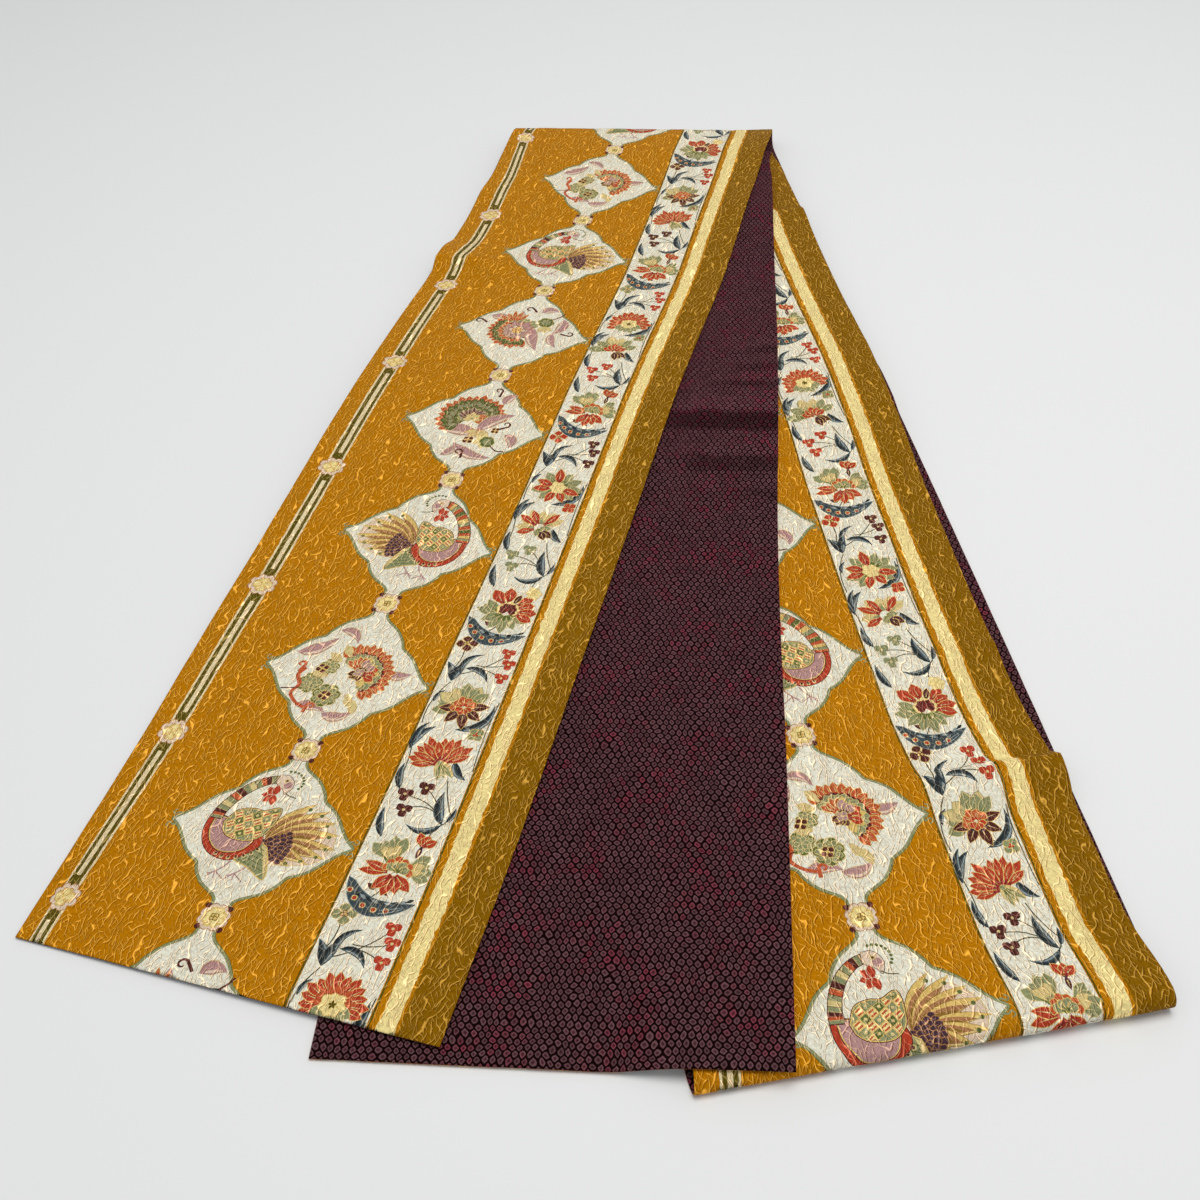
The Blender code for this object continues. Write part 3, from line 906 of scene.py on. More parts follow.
shade = mixed(ring, (0.0030, 0.0001, 0.0002, 1), inner)
shade = mixed(1.0, shade, maths("MULTIPLY_ADD", fine, 0.6, 0.75), "MULTIPLY")

# Painted shade and painted highlight along the ripples: the rising side of each is painted darker,
# the falling side painted brighter.
place = node("ShaderNodeSeparateXYZ")
put(place, 0, bent)
from_end = maths("SUBTRACT", FINISHED_END, place.outputs[1])
ripple_painted_light_and_shade = 1.0
for foot, crest, end, tall, first in RIPPLES:
    painted_shade_band = maths("MULTIPLY", between(from_end, foot, foot + 5),
                 between(from_end, crest + 3, crest - 4))
    painted_highlight_band = maths("MULTIPLY", between(from_end, crest - 2, crest + 6),
                 between(from_end, end, crest + 8))
    ripple_painted_tone = maths("SUBTRACT", maths("MULTIPLY", painted_highlight_band, 0.22), maths("MULTIPLY", painted_shade_band, 0.60))
    ripple_painted_tone = maths("MULTIPLY", ripple_painted_tone, min(1.0, 0.35 + 0.35 * tall))
    reach = between(place.outputs[0], first * wide, (first + 0.12) * wide)
    ripple_painted_light_and_shade = maths("ADD", ripple_painted_light_and_shade, maths("MULTIPLY", ripple_painted_tone, reach))
# lay the ripples' painted shade and painted highlight over the colour
shade = mixed(1.0, shade, ripple_painted_light_and_shade, "MULTIPLY")
put(silk, "Base Color", shade)
bump = node("ShaderNodeBump")
put(bump, "Strength", 0.8)
put(bump, "Distance", 0.0004)
put(bump, "Height", maths("ADD", ring, maths("MULTIPLY", fine, 0.3)))
put(silk, "Normal", bump)
silk.inputs["Specular Tint"].default_value = (0.9, 0.5, 0.5, 1)
silk.inputs["Roughness"].default_value = 0.6
silk.inputs["Specular IOR Level"].default_value = 0.04
silk.inputs["Sheen Weight"].default_value = 0.4
silk.inputs["Sheen Roughness"].default_value = 0.35
silk.inputs["Sheen Tint"].default_value = (1.0, 0.12, 0.24, 1)

lay_cloth("back", -1, [], plum)


# ------------------------------------------------------------ the face cloth
# Silk brocade, sewn to the back cloth all round.  On its crinkled ochre ground
# dyed yarns make a double line, a chain of pictured cartouches with a small
# medallion between each two, and a flowered border between plain stripes.
def dye(code):
    """Linear colour of a yarn from its six-digit shade number."""
    shade = [int(code[i:i + 2], 16) / 255 for i in (0, 2, 4)]
    return tuple(c / 12.92 if c <= 0.04045 else ((c + 0.055) / 1.055) ** 2.4
                 for c in shade)


YARN = {name: dye(code) for name, code in (
    ("ochre", "B97602"), ("deep ochre", "855B02"), ("white", "E9E7D4"),
    ("cream", "F2DF98"), ("olive", "5A4E10"), ("sage", "8B9067"),
    ("moss", "5F6A35"), ("coral", "BF5833"), ("red", "B43E28"),
    ("slate", "3E4B51"), ("mist", "8C9A9C"), ("plum", "522824"),
    ("mauve", "B48B89"), ("gold", "DDBC6C"), ("blush", "E3CDB4"),
    ("ivory", "EAD9AE"), ("straw", "D8C486"), ("twig", "57523A"),
    ("violet", "47303A"), ("bronze", "8C6A2E"), ("rust", "A8764C"),
    ("crimson", "93302A"), ("navy", "262D30"))}
GROUND = "ochre"

# The yarn that shades the foot of a petal of another yarn.
DEEPER = {"red": "crimson", "coral": "red", "sage": "moss", "straw": "sage",
          "mauve": "plum", "moss": "twig", "plum": "violet", "gold": "rust"}


def turned(points, heading=0.0, x=0.0, y=0.0, size=1.0, flip=1):
    """Points turned clockwise by a heading in degrees, then moved."""
    a = math.radians(heading)
    p = np.asarray(points, float) * (flip * size, size)
    return np.column_stack([x + p[:, 0] * math.cos(a) + p[:, 1] * math.sin(a),
                            y - p[:, 0] * math.sin(a) + p[:, 1] * math.cos(a)])


def petal(length, width, full=0.75):
    """Outline of a petal that grows up from the origin to a point."""
    t = np.linspace(0, 1, 6)
    half = 0.5 * width * np.sin(math.pi * t ** full)
    half[0] += 0.12 * width
    right = np.column_stack([half, length * t])
    return np.vstack([right, (right * (-1, 1))[-2::-1]])


def lobed(radius, lobes, depth):
    """Outline of a round shape with a scalloped edge."""
    a = np.linspace(0, 2 * math.pi, 5 * lobes, endpoint=False)
    r = radius * (1 - depth * (1 - np.abs(np.sin(0.5 * lobes * a)) ** 0.6))
    return np.column_stack([r * np.sin(a), r * np.cos(a)])


def smooth_path(points, steps=4):
    """Soft curve through a few points."""
    p = np.asarray(points, float)
    p = np.vstack([2 * p[0] - p[1], p, 2 * p[-1] - p[-2]])
    t = np.linspace(0, 1, steps, endpoint=False)[:, None]
    out = []
    for a, b, c, d in zip(p, p[1:], p[2:], p[3:]):
        out.append(0.5 * (2 * b + (c - a) * t + (2 * a - 5 * b + 4 * c - d) * t * t
                          + (3 * b - a - 3 * c + d) * t ** 3))
    return np.vstack(out + [p[-2][None]])


def stroke(path, start, end):
    """Outline of a line drawn along a path, from one width to another."""
    way = np.gradient(path, axis=0)
    way /= np.linalg.norm(way, axis=1, keepdims=True)
    side = np.column_stack([way[:, 1], -way[:, 0]])
    half = np.linspace(start, end, len(path))[:, None] / 2
    return np.vstack([path + side * half, (path - side * half)[::-1]])


def grown(points, by):
    """An outline moved outwards all round."""
    way = np.roll(points, -1, 0) - np.roll(points, 1, 0)
    way /= np.maximum(np.linalg.norm(way, axis=1, keepdims=True), 1e-9)
    x, y = points.T
    area = np.sum(x * np.roll(y, -1) - y * np.roll(x, -1))
    return points + math.copysign(by, area) * np.column_stack([way[:, 1], -way[:, 0]])


def rimmed(yarn, outline, *rims):
    """A dyed shape over wider copies of itself, each a yarn and how far it stands out."""
    return [(rim, grown(outline, by)) for rim, by in rims] + [(yarn, outline)]


def bowed(x0, y0, x1, y1, bow, count):
    """Points from one place to another, with the middle moved aside by bow."""
    t = np.linspace(0, 1, count)
    run = np.array([x1 - x0, y1 - y0])
    side = np.array([run[1], -run[0]]) / np.linalg.norm(run)
    return np.array([x0, y0]) + t[:, None] * run + (4 * bow * t * (1 - t))[:, None] * side


def leaf(x0, y0, x1, y1, bow, width, colour="slate", vein="mist"):
    """A leaf from its foot to its tip, bowed to one side, with a vein."""
    t = np.linspace(0, 1, 8)
    mid = bowed(x0, y0, x1, y1, bow, len(t))
    way = np.gradient(mid, axis=0)
    way /= np.linalg.norm(way, axis=1, keepdims=True)
    out = np.column_stack([way[:, 1], -way[:, 0]])
    half = (0.5 * width * np.sin(math.pi * t ** 0.8) + 0.15)[:, None]
    shapes = [(colour, np.vstack([mid + out * half, (mid - out * half)[::-1]]))]
    if colour == "slate":
        shapes.append(("navy", np.vstack([mid[:7] - out[:7] * half[:7] * 0.1,
                                          (mid[:7] - out[:7] * half[:7] * 0.8)[::-1]])))
    if vein:
        shapes.append((vein, np.vstack([mid[1:7] + out[1:7] * half[1:7] * 0.75,
                                        (mid[1:7] + out[1:7] * half[1:7] * 0.35)[::-1]])))
    return shapes


def bloom(rings, x=0.0, y=0.0, heading=0.0, size=1.0):
    """A flower as rings of petals, the outermost ring first."""
    shapes = []
    for colour, rim, count, first, last, start, length, width, full, *aside in rings:
        for k in range(count):
            at = first + (last - first) * (k + 0.5) / count
            wave = 1 + 0.09 * math.sin(2.3 * k + 0.6 * count)    # no two petals are one length
            one = petal(length * wave, width, full) + (0, start)
            one = turned(one, at, *(size * np.array(aside or (0, 0))), size)
            one = turned(one, heading, x, y)
            if rim:
                shapes.append((rim, grown(one, 0.55)))
            shapes.append((colour, one))
            if length > 8:                   # a long petal has a darker foot and a vein
                for yarn, low, wide, high in ((DEEPER.get(colour), 0.0, 0.26 * width, 0.62),
                                              ("straw", 0.3, 0.4, 0.85)):
                    if yarn:
                        vein = np.array([(-wide, low * length), (wide, low * length),
                                         (0, high * length)]) + (0, start)
                        vein = turned(vein, at, *(size * np.array(aside or (0, 0))), size)
                        shapes.append((yarn, turned(vein, heading, x, y)))
    return shapes


def placed(shapes, x=0.0, y=0.0, heading=0.0, size=1.0, flip=1):
    """Shapes turned, mirrored and moved together."""
    return [(c, turned(p, heading, x, y, size, flip)) for c, p in shapes]


def curl(x, y, heading, size, width, colour, flip=1):
    """A thin tendril that winds up at its end."""
    a = np.linspace(0, 1.7 * math.pi, 12)
    r = 0.34 * size * (1 - 0.11 * a)
    path = np.column_stack([r * np.sin(a), 0.62 * size - r * np.cos(a)])
    path = np.vstack([[(-0.55 * size, 0.05 * size), (-0.25 * size, 0.17 * size)], path])
    return [(colour, turned(stroke(path, 1.3 * width, 0.6 * width), heading, x, y, 1.0, flip))]


def berries(x, y, colour, size=1.0):
    """Three round fruits on one stalk."""
    shapes = []
    for a in (-60, 60, 180):
        turn = math.radians(a)
        centre = (x + 3.4 * size * math.sin(turn), y + 3.4 * size * math.cos(turn))
        shapes.append((colour, lobed(3.3 * size, 4, 0.12) + centre))
    shapes.append(("straw", lobed(1.2 * size, 3, 0.1) + (x, y)))
    return shapes


# Rings of each flower, the outermost first.
#    yarn      rim     count first last  start length width full  middle x, y
FLOWERS = {
    "bowl lotus": (
        ("sage", "straw", 4, -62, 12, 5, 19, 9, 1.7, -3, 2),
        ("straw", "gold", 3, -50, 0, 5, 12, 5, 1.5, -3, 2),
        ("sage", "straw", 4, 38, 112, 4, 17, 8, 1.7, 4, 0),
        ("straw", "gold", 2, 55, 95, 4, 11, 5, 1.5, 4, 0),
        ("red", "gold", 2, -108, -66, 2, 19, 7, 0.9, -3, -3),
        ("red", "gold", 4, 112, 232, 2, 16, 8.5, 0.95, 0, -4),
        ("coral", "gold", 6, -100, 112, 5, 6.5, 5.6, 1.6, 1, -1),
        ("sage", "gold", 4, -80, 90, 0, 9, 6.5, 1.5, 1, -2)),
    "crowned lotus": (
        ("sage", "straw", 3, -110, -40, 6, 17, 10, 1.2),
        ("straw", "sage", 4, -70, 40, 6, 18, 10, 1.3),
        ("sage", "straw", 3, -15, 60, 6, 17, 9, 1.2),
        ("plum", "gold", 5, 60, 290, 3, 17, 8, 0.9),
        ("coral", "gold", 5, -110, 80, 2, 9, 7, 1.5),
        ("red", "gold", 4, 90, 270, 1, 6, 5, 1.2)),
    "open lotus": (
        ("sage", "straw", 3, -88, -40, 4, 17, 8, 1.0, -4, -6),
        ("sage", "straw", 5, 100, 250, 4, 18, 8, 1.0, -1, -2),
        ("red", "gold", 2, -58, 6, 7, 18, 10.5, 1.3),
        ("red", "gold", 4, 34, 122, 7, 17, 8.5, 1.4),
        ("plum", "gold", 1, 8, 32, 7, 12, 5, 1.2),
        ("cream", "gold", 9, -118, 118, 3.4, 6, 5.4, 1.5),
        ("plum", "crimson", 7, -125, 125, 0, 7.6, 5.2, 1.3)),
    "star lotus": (
        ("sage", "straw", 9, -150, 150, 5, 18, 9, 1.1),
        ("red", "gold", 1, -10, 10, 6, 17, 9, 0.9),
        ("red", "gold", 2, -110, -50, 6, 16, 8, 0.9),
        ("red", "gold", 3, 90, 230, 5, 16, 8, 0.9),
        ("cream", "gold", 6, -180, 180, 0, 8, 6, 1.3)),
    "round carnation": (
        ("red", "gold", 13, -120, 120, 8, 15, 7, 1.2),
        ("coral", None, 11, -115, 115, 7, 8, 4, 1.0),
        ("sage", "straw", 6, 110, 250, 3, 13, 8, 1.0),
        ("cream", "gold", 7, -180, 180, 0, 9, 7, 1.4),
        ("olive", None, 5, -180, 180, 0, 3.2, 1.8, 1.0)),
    "fan carnation": (
        ("red", "gold", 6, -100, 56, 3, 24, 7.0, 1.35, 2, -4),
        ("red", "gold", 7, -114, 70, 3, 21, 6.2, 1.3, 2, -4),
        ("coral", None, 7, -108, 64, 8, 11, 2.6, 1.2, 2, -4),
        ("straw", "gold", 3, 118, 176, -1, 17, 7, 0.8, 1, -2),
        ("sage", "straw", 3, 122, 178, 3, 14, 3.4, 0.8, 1, -2)),
    "lily": (
        ("straw", "gold", 6, -110, 70, 5, 17, 8, 1.2),
        ("red", "gold", 2, -75, -15, 5, 18, 7, 1.1),
        ("red", "gold", 1, 10, 60, 5, 18, 7, 1.1),
        ("red", "gold", 1, -130, -105, 5, 15, 7, 1.1),
        ("sage", "straw", 4, 70, 200, 1, 9, 6, 1.0),
        ("plum", "gold", 2, 115, 160, 5, 11, 7, 0.9)),
    "tulip": (
        ("sage", "straw", 3, -105, -10, 8, 19, 10, 1.2),
        ("straw", "gold", 2, -35, 20, 8, 18, 9, 1.3),
        ("sage", "straw", 2, 15, 70, 8, 17, 8, 1.2),
        ("red", "gold", 5, -90, 70, 1, 12, 7, 1.2),
        ("plum", "gold", 3, 110, 175, 2, 13, 7, 0.9)),
    "bud": (
        ("red", "gold", 3, -60, 60, 0, 9.5, 6, 1.1),
        ("plum", None, 1, 150, 190, 0, 9, 3.4, 0.9)),
    "posy": (
        ("plum", "gold", 4, -180, 180, 0.5, 7.5, 7, 1.5),
        ("gold", None, 4, -135, 225, 0, 3, 2.4, 1.0)),
    "crimson frill": (
        ("coral", "gold", 17, -52, 158, 17.5, 11.5, 7.0, 0.9),
        ("plum", None, 19, -56, 156, 13, 7.5, 5.5, 1.6),
        ("sage", "straw", 15, -60, 160, 8.5, 10.5, 6.2, 1.6),
        ("gold", None, 7, -70, 170, 3, 14.0, 7, 1.3),
        ("mauve", "straw", 1, -12, 12, 2, 10, 10, 1.3),
        ("coral", "cream", 4, -62, 10, 5, 10.5, 4.6, 1.3),
        ("red", "gold", 3, 55, 125, 4, 11.0, 7.2, 1.4),
        ("mauve", "straw", 3, 5, 60, 3, 10.5, 6.4, 1.4),
        ("plum", "gold", 4, 150, 260, 0, 8.5, 5.4, 1.3),
        ("mauve", "straw", 4, -180, 180, 0, 4.5, 3.6, 1.3)),
    "moss frill": (
        ("coral", "straw", 17, -128, 96, 17, 15.5, 9.5, 0.85),
        ("moss", "plum", 17, -134, 96, 15, 12.5, 8.2, 1.0),
        ("sage", "plum", 14, -126, 90, 11, 11.5, 8.2, 1.3),
        ("moss", "plum", 11, -118, 84, 6, 11.5, 7.6, 1.3),
        ("sage", "straw", 8, -100, 70, 2, 12, 6.6, 1.2),
        ("plum", "mauve", 9, -85, 80, 0, 14, 3.4, 0.9),
        ("coral", "gold", 3, 60, 130, 1, 12, 5.5, 1.0),
        ("straw", "gold", 5, -130, 130, -1, 8.5, 5, 1.1)),
    "rose frill": (
        ("coral", "straw", 15, 148, 322, 16.5, 14.5, 8.6, 0.85),
        ("moss", "plum", 13, 150, 320, 14, 12.5, 7.6, 1.1),
        ("sage", "straw", 6, -42, 60, 8, 16, 9, 1.2),
        ("coral", "straw", 10, 155, 318, 9, 11.5, 6.5, 1.1),
        ("plum", None, 12, 130, 330, 6, 9.5, 6.0, 1.5),
        ("mauve", "straw", 9, 120, 340, 2.5, 12.5, 7.8, 1.4),
        ("mauve", "coral", 5, -40, 100, 2, 16, 8, 1.0),
        ("blush", "plum", 6, -180, 180, 1.5, 7.5, 5.5, 1.3),
        ("gold", "coral", 5, -180, 180, 0, 6, 4.6, 1.2)),
}


def inside(points, outline):
    """Which points lie within an outline."""
    x, y = np.asarray(points, float).T
    odd = np.zeros(len(x), bool)
    for (x0, y0), (x1, y1) in zip(outline, np.roll(outline, -1, 0)):
        if y0 != y1:
            odd ^= ((y0 > y) != (y1 > y)) & (x < x0 + (y - y0) * (x1 - x0) / (y1 - y0))
    return odd


def kept_in(points, centre, outline):
    """A shape with its corners drawn in until they lie within an outline."""
    out = np.array(points, float)
    for part in (0.85, 0.7, 0.55, 0.4, 0.25, 0.1):
        loose = ~inside(out, outline)
        out[loose] = centre + (np.asarray(points)[loose] - centre) * part
    return out


def scales(x, y, rows, colour, rim, size=1.0):
    """Rows of overlapping round feathers or petals, the outermost row first."""
    shapes = []
    for radius, first, last, count, length, width in rows:
        for k in range(count):
            a = first + (last - first) * (k + 0.5) / count
            one = turned(petal(length, width, 1.5) + (0, radius), a, x, y, size)
            shapes += rimmed(colour, one, (rim, 0.55))
    return shapes


def bird(neck, banding):
    """A long-necked bird with a chequered wing and a spread tail, looking right."""
    # tail: a pale fan under long plumes with eyes, then dark feathers at the root
    fan = smooth_path([(2, -8), (14, 8), (24, 20), (38, 22), (50, 12), (54, -2), (48, -16),
                       (34, -23), (18, -26), (5, -22)], 3)
    shapes = rimmed("blush", fan, ("gold", 0.5))
    for x, y, bow, width in ((29, 31, -5, 9), (41, 27, -4, 10), (49, 18, -4, 10),
                             (55, 8, -4, 10), (57, -4, -3, 9), (52, -13, -2, 9),
                             (42, -20, -1, 9), (31, -25, 1, 8)):
        shapes += leaf(6, -11, x, y, bow, width + 1.2, "bronze", None)
        shapes += leaf(6, -11, x, y, bow, width, "gold", "cream")
        shapes += leaf(6, -11, 6 + 0.80 * (x - 6), -11 + 0.80 * (y + 11), 0.8 * bow,
                       0.80 * width, "rust", None)
        shapes += leaf(6, -11, 6 + 0.66 * (x - 6), -11 + 0.66 * (y + 11), 0.66 * bow,
                       0.52 * width, "bronze", "gold")
        ex, ey = 6 + 0.86 * (x - 6), -11 + 0.86 * (y + 11)
        shapes.append(("moss", lobed(1.6, 3, 0.1) + (ex, ey)))
    shapes += scales(0, -12, ((20, 52, 122, 8, 6.5, 4.4), (15.5, 52, 126, 7, 6.5, 4.4),
                              (11, 50, 128, 6, 6.5, 4.2), (6.5, 50, 130, 4, 6.5, 4.4),
                              (2, 50, 132, 3, 6.5, 4.0)), "violet", "rust")
    # legs, thigh and the small fan of feathers behind it
    for foot in (-13, 1):
        path = smooth_path([(foot + 3, -30), (foot, -36), (foot - 5, -41), (foot - 9, -43)])
        shapes.append(("mauve", stroke(path, 1.3, 1.0)))
        for toe in (-9, -3, 4):
            path = np.array([(foot - 4, -40), (foot + toe, -46)], float)
            shapes.append(("mauve", stroke(path, 1.1, 0.8)))
    thigh = smooth_path([(4, -11), (-2, -20), (-9, -28), (4, -33), (18, -40), (15, -26),
                         (9, -14)], 3)
    shapes += rimmed("sage", thigh, ("gold", 1.0))
    shapes.append(("straw", smooth_path([(5, -12), (10, -22), (18, -39), (15, -26), (10, -15)], 3)))
    for k in range(5):
        path = np.array([(3 - 2.3 * k, -15 - 3.2 * k), (9 + 1.4 * k, -17 - 4.1 * k)])
        shapes.append(("moss", stroke(path, 0.7, 0.7)))
    # body, then its mauve breast with a scalloped edge
    body = smooth_path([(-42.5, 9), (-42, -6), (-36, -19), (-26, -27), (-12, -29.5), (-2, -22),
                        (4, -11), (-6, 8), (-24, 6), (-34, 8)])
    shapes += rimmed("red", body, ("plum", 0.6))
    for k in range(7):
        a = math.radians(118 + 15 * k)
        shapes += placed([("straw", petal(4.6, 3.4, 1.4)), ("plum", petal(3.4, 2.0, 1.4))],
                         -14 + 18 * math.sin(a), -8 + 17 * math.cos(a), 118 + 15 * k)
    breast = smooth_path([(-37.5, 7), (-37, -5), (-32, -15), (-24, -21.5), (-13, -22), (-5, -16),
                          (-4, -4), (-20, 4), (-31, 6)])
    shapes += rimmed("mauve", breast, ("plum", 1.5), ("gold", 0.8))
    inner = smooth_path([(-34, 6), (-33.5, -4), (-29, -12), (-22, -17), (-13, -17), (-7, -12),
                         (-12, 0), (-26, 4)])
    shapes += [("plum", grown(inner, 0.5)), ("blush", grown(inner, -0.1)),
               ("mauve", grown(inner, -0.8))]
    # wing: rows of sage squares with a dot and of striped cream squares
    wing = smooth_path([(-30, 3), (-24, 14), (-14, 17), (-6, 16), (5, 20.5), (5, 7), (2, -4),
                        (-7, -11), (-21, -9.5), (-28, -4)])
    shapes += rimmed("sage", wing, ("plum", 1.3), ("gold", 0.7))
    along, up = np.array([5.4, 3.4]), np.array([-2.6, 5.4])
    for i in range(-4, 6):
        for j in range(-4, 5):
            centre = np.array([-12.0, 3.0]) + i * along + j * up
            if not inside([centre], wing)[0]:
                continue
            square = np.array([(-1, -1), (1, -1), (1, 1), (-1, 1)]) * 0.5 @ np.array([along, up])
            square = kept_in(centre + square, centre, wing)
            shapes.append(("gold", square))
            square = centre + (square - centre) * 0.86
            if (i + j) % 2:
                shapes.append(("cream", square))
                for s in (-0.26, 0.22):
                    bar = np.array([centre - 0.36 * along + s * up, centre + 0.36 * along + s * up])
                    bar = kept_in(stroke(bar, 1.35, 1.35), centre, square)
                    shapes.append(("coral", bar))
            else:
                shapes += [("moss" if j % 2 else "sage", square),
                           ("straw", lobed(1.25, 4, 0.2) + centre)]
    # neck in bands, head, beak, crest and the leaf that it holds
    path = smooth_path([(-38, 5), (-37, 13), (-33, 24), (-25.5, 35.5), (-16, 43.5), (-7, 46.5),
                        (-1, 45)], 6)
    whole = stroke(path, 1.15 * neck, 0.75 * neck)
    shapes.append(("plum", grown(whole, 0.6)))
    parts = len(path) - 1
    for k in range(parts):
        w0 = neck * (1.15 - 0.4 * k / parts)
        shapes.append((banding[k // 2 % len(banding)],
                       stroke(path[k:k + 2], w0, w0 - 0.4 * neck / parts)))
        if k % 2 == 0:
            band = np.array([path[k], 0.8 * path[k] + 0.2 * path[k + 1]])
            shapes.append(("straw" if k % 4 else "plum", stroke(band, w0, w0)))
    head = smooth_path([(-8, 51), (-1, 51), (4, 46), (4.5, 40), (1.5, 34), (-1, 38), (-6, 41),
                        (-9, 44)])
    shapes += [("plum", grown(head, 0.5)), ("blush", head),
               ("mauve", lobed(3.4, 3, 0.1) + (0.8, 42.5)),
               ("straw", lobed(2.0, 3, 0.1) + (-1.5, 46.3)),
               ("plum", lobed(1.0, 3, 0.1) + (-1.3, 46.3))]
    shapes.append(("twig", stroke(smooth_path([(1, 36), (5, 33.5), (11.5, 32.5)]), 1.0, 0.9)))
    for a in (-95, -45, -140, 0, 170):
        one = turned(petal(9.5, 6, 0.9), a, -5.5, 32)
        shapes += rimmed("red", one, ("blush", 0.4))
    for k in range(9):
        a = math.radians(-15 + 17 * k)
        tip = (0.5 + 10.5 * math.sin(a), 46 + 9.5 * math.cos(a))
        shapes.append(("moss", lobed(1.2, 3, 0.1) + tip))
    return shapes


def mauve_leaf(x0, y0, x1, y1, bow, width):
    """A mauve leaf with a straw rim."""
    return leaf(x0, y0, x1, y1, bow, width + 1.2, "straw", None) + leaf(
        x0, y0, x1, y1, bow, width, "mauve", "blush")


def cartouche_picture(kind):
    """What a cartouche holds: a bird, or a round flower spray with leaves."""
    if kind == 0:
        return bird(8.0, ("sage", "coral", "plum", "sage", "straw"))
    if kind == 2:
        return placed(bird(10.0, ("coral", "sage", "gold", "coral", "moss")), flip=-1)
    shapes = []
    if kind == 1:
        shapes += mauve_leaf(-49, 14, -22, 34, 4, 11) + mauve_leaf(-24, 42, -5, 31, -5, 8)
        shapes += mauve_leaf(-28, -37, -2, -40, -3, 9) + mauve_leaf(-4, -41, 19, -35, 5, 9)
        shapes += mauve_leaf(30, 6, 50, 11, 2, 9)
        shapes += bloom(FLOWERS["crimson frill"], 8, 3)
        for x, y, size in ((-25, -14, 1.0), (-8, -24, 1.15), (-17, 4, 0.8)):
            shapes += [("straw", lobed(10.5 * size, 7, 0.16) + (x, y)),
                       ("moss", lobed(9.8 * size, 7, 0.16) + (x, y))]
            shapes += scales(x, y, ((3.6, -180, 180, 9, 5, 3.4), (0.4, -180, 180, 6, 5, 3.6)),
                             "sage", "straw", size)
        for x, y, a in ((-14, 14, -60), (-9, 20, -35), (-19, -2, -85), (4, -17, 150),
                        (12, -22, 165)):
            one = turned(petal(13, 6.5, 1.1), a, x + 4, y - 3)
            shapes += rimmed("straw", one, ("gold", 0.5))
        for x, y in ((-22, 1.5), (-9, -24)):
            shapes += bloom(FLOWERS["posy"], x, y, 20, 0.62)
        shapes.append(("coral", stroke(smooth_path([(-35, 0), (-38, -8), (-33, -17), (-36, -26),
                                                   (-29, -34), (-20, -38)]), 3.8, 2.4)))
        shapes.append(("plum", stroke(smooth_path([(-46, -23), (-40, -22), (-32, -20)]), 1.2, 1.0)))
        shapes += curl(-35, -1, -50, 10, 2.4, "coral") + curl(-21, -38, 70, 10, 2.4, "coral", -1)
    if kind == 3:
        shapes += mauve_leaf(17, 34, 27, 50, -3, 10) + mauve_leaf(-21, -46, -13, -29, 4, 8)
        shapes += mauve_leaf(-14, -28, 27, -41, 7, 12) + mauve_leaf(31, -8, 40, -25, -5, 11)
        shapes += mauve_leaf(-30, -12, 8, -17, -5, 15)
        shapes += bloom(FLOWERS["moss frill"], -7, 8, -6, 1.06)
        shapes += mauve_leaf(2, -8, 33, 21, -4, 14)
        for a in (-150, -110, 100, 140):
            one = turned(petal(12, 6, 0.9), a, 3, -8)
            shapes += rimmed("straw", one, ("coral", 0.5))
        for a in (-60, 0, 60, 120, 180, 240):
            one = turned(petal(11, 6, 1.0), a, 13, -20)
            shapes += rimmed("cream", one, ("gold", 0.4))
        shapes += [("straw", lobed(8.2, 6, 0.12) + (17, -21)),
                   ("moss", lobed(7.4, 6, 0.12) + (17, -21)),
                   ("sage", lobed(4.6, 5, 0.12) + (17, -21))]
        for x, y, size in ((-2, -22, 1.0), (20, -4, 0.8)):
            shapes += bloom(FLOWERS["posy"], x, y, 0, 0.66 * size)
        shapes.append(("plum", stroke(smooth_path([(22, -26), (29, -31), (37, -30)]), 1.5, 1.5)))
        for x, y, a in ((1, -42, -70), (30, -1, -10), (13, 49, -60)):
            shapes += curl(x, y, a, 12, 1.9, "plum")
    if kind == 4:
        shapes += mauve_leaf(36, 30, 30, 2, -4, 11) + mauve_leaf(31, 3, 40, -20, 4, 9)
        shapes += mauve_leaf(-40, 24, -22, 27, 3, 11) + mauve_leaf(10, 36, 27, 42, -4, 10)
        shapes += mauve_leaf(8, 10, 22, -30, 3, 13) + mauve_leaf(-16, 10, -10, 36, 3, 12)
        shapes += bloom(FLOWERS["rose frill"], -6, 0)
        shapes += [("straw", lobed(9.0, 6, 0.12) + (19, 20)),
                   ("moss", lobed(8.2, 6, 0.12) + (19, 20)),
                   ("sage", lobed(5.0, 5, 0.12) + (19, 20))]
        shapes += bloom((("coral", "gold", 5, -60, 60, 4, 16, 4, 1.0),), -14, 14, -10)
        for a in (120, 160, 200):
            one = turned(petal(11, 6, 1.0), a, 19, 12)
            shapes += rimmed("straw", one, ("gold", 0.4))
        shapes.append(("plum", stroke(smooth_path([(24, 27), (30, 33), (34, 40)]), 1.5, 1.5)))
        for x, y, a in ((3, 42, -110), (-44, 16, -120), (44, 0, 30)):
            shapes += curl(x, y, a, 12, 1.9, "plum")
    return shapes


PITCH = 154.0                # mm from one medallion to the next

# Outline of a quarter of a cartouche, in mm from its middle.
QUARTER = ((4.6, 67.5), (5.4, 63), (9, 58.5), (15, 54.5), (21, 50.5), (26, 45), (30, 39),
           (32.5, 33.5), (38, 30), (45, 24.5), (51, 17), (57, 9), (62, 4), (66.5, 0.4))


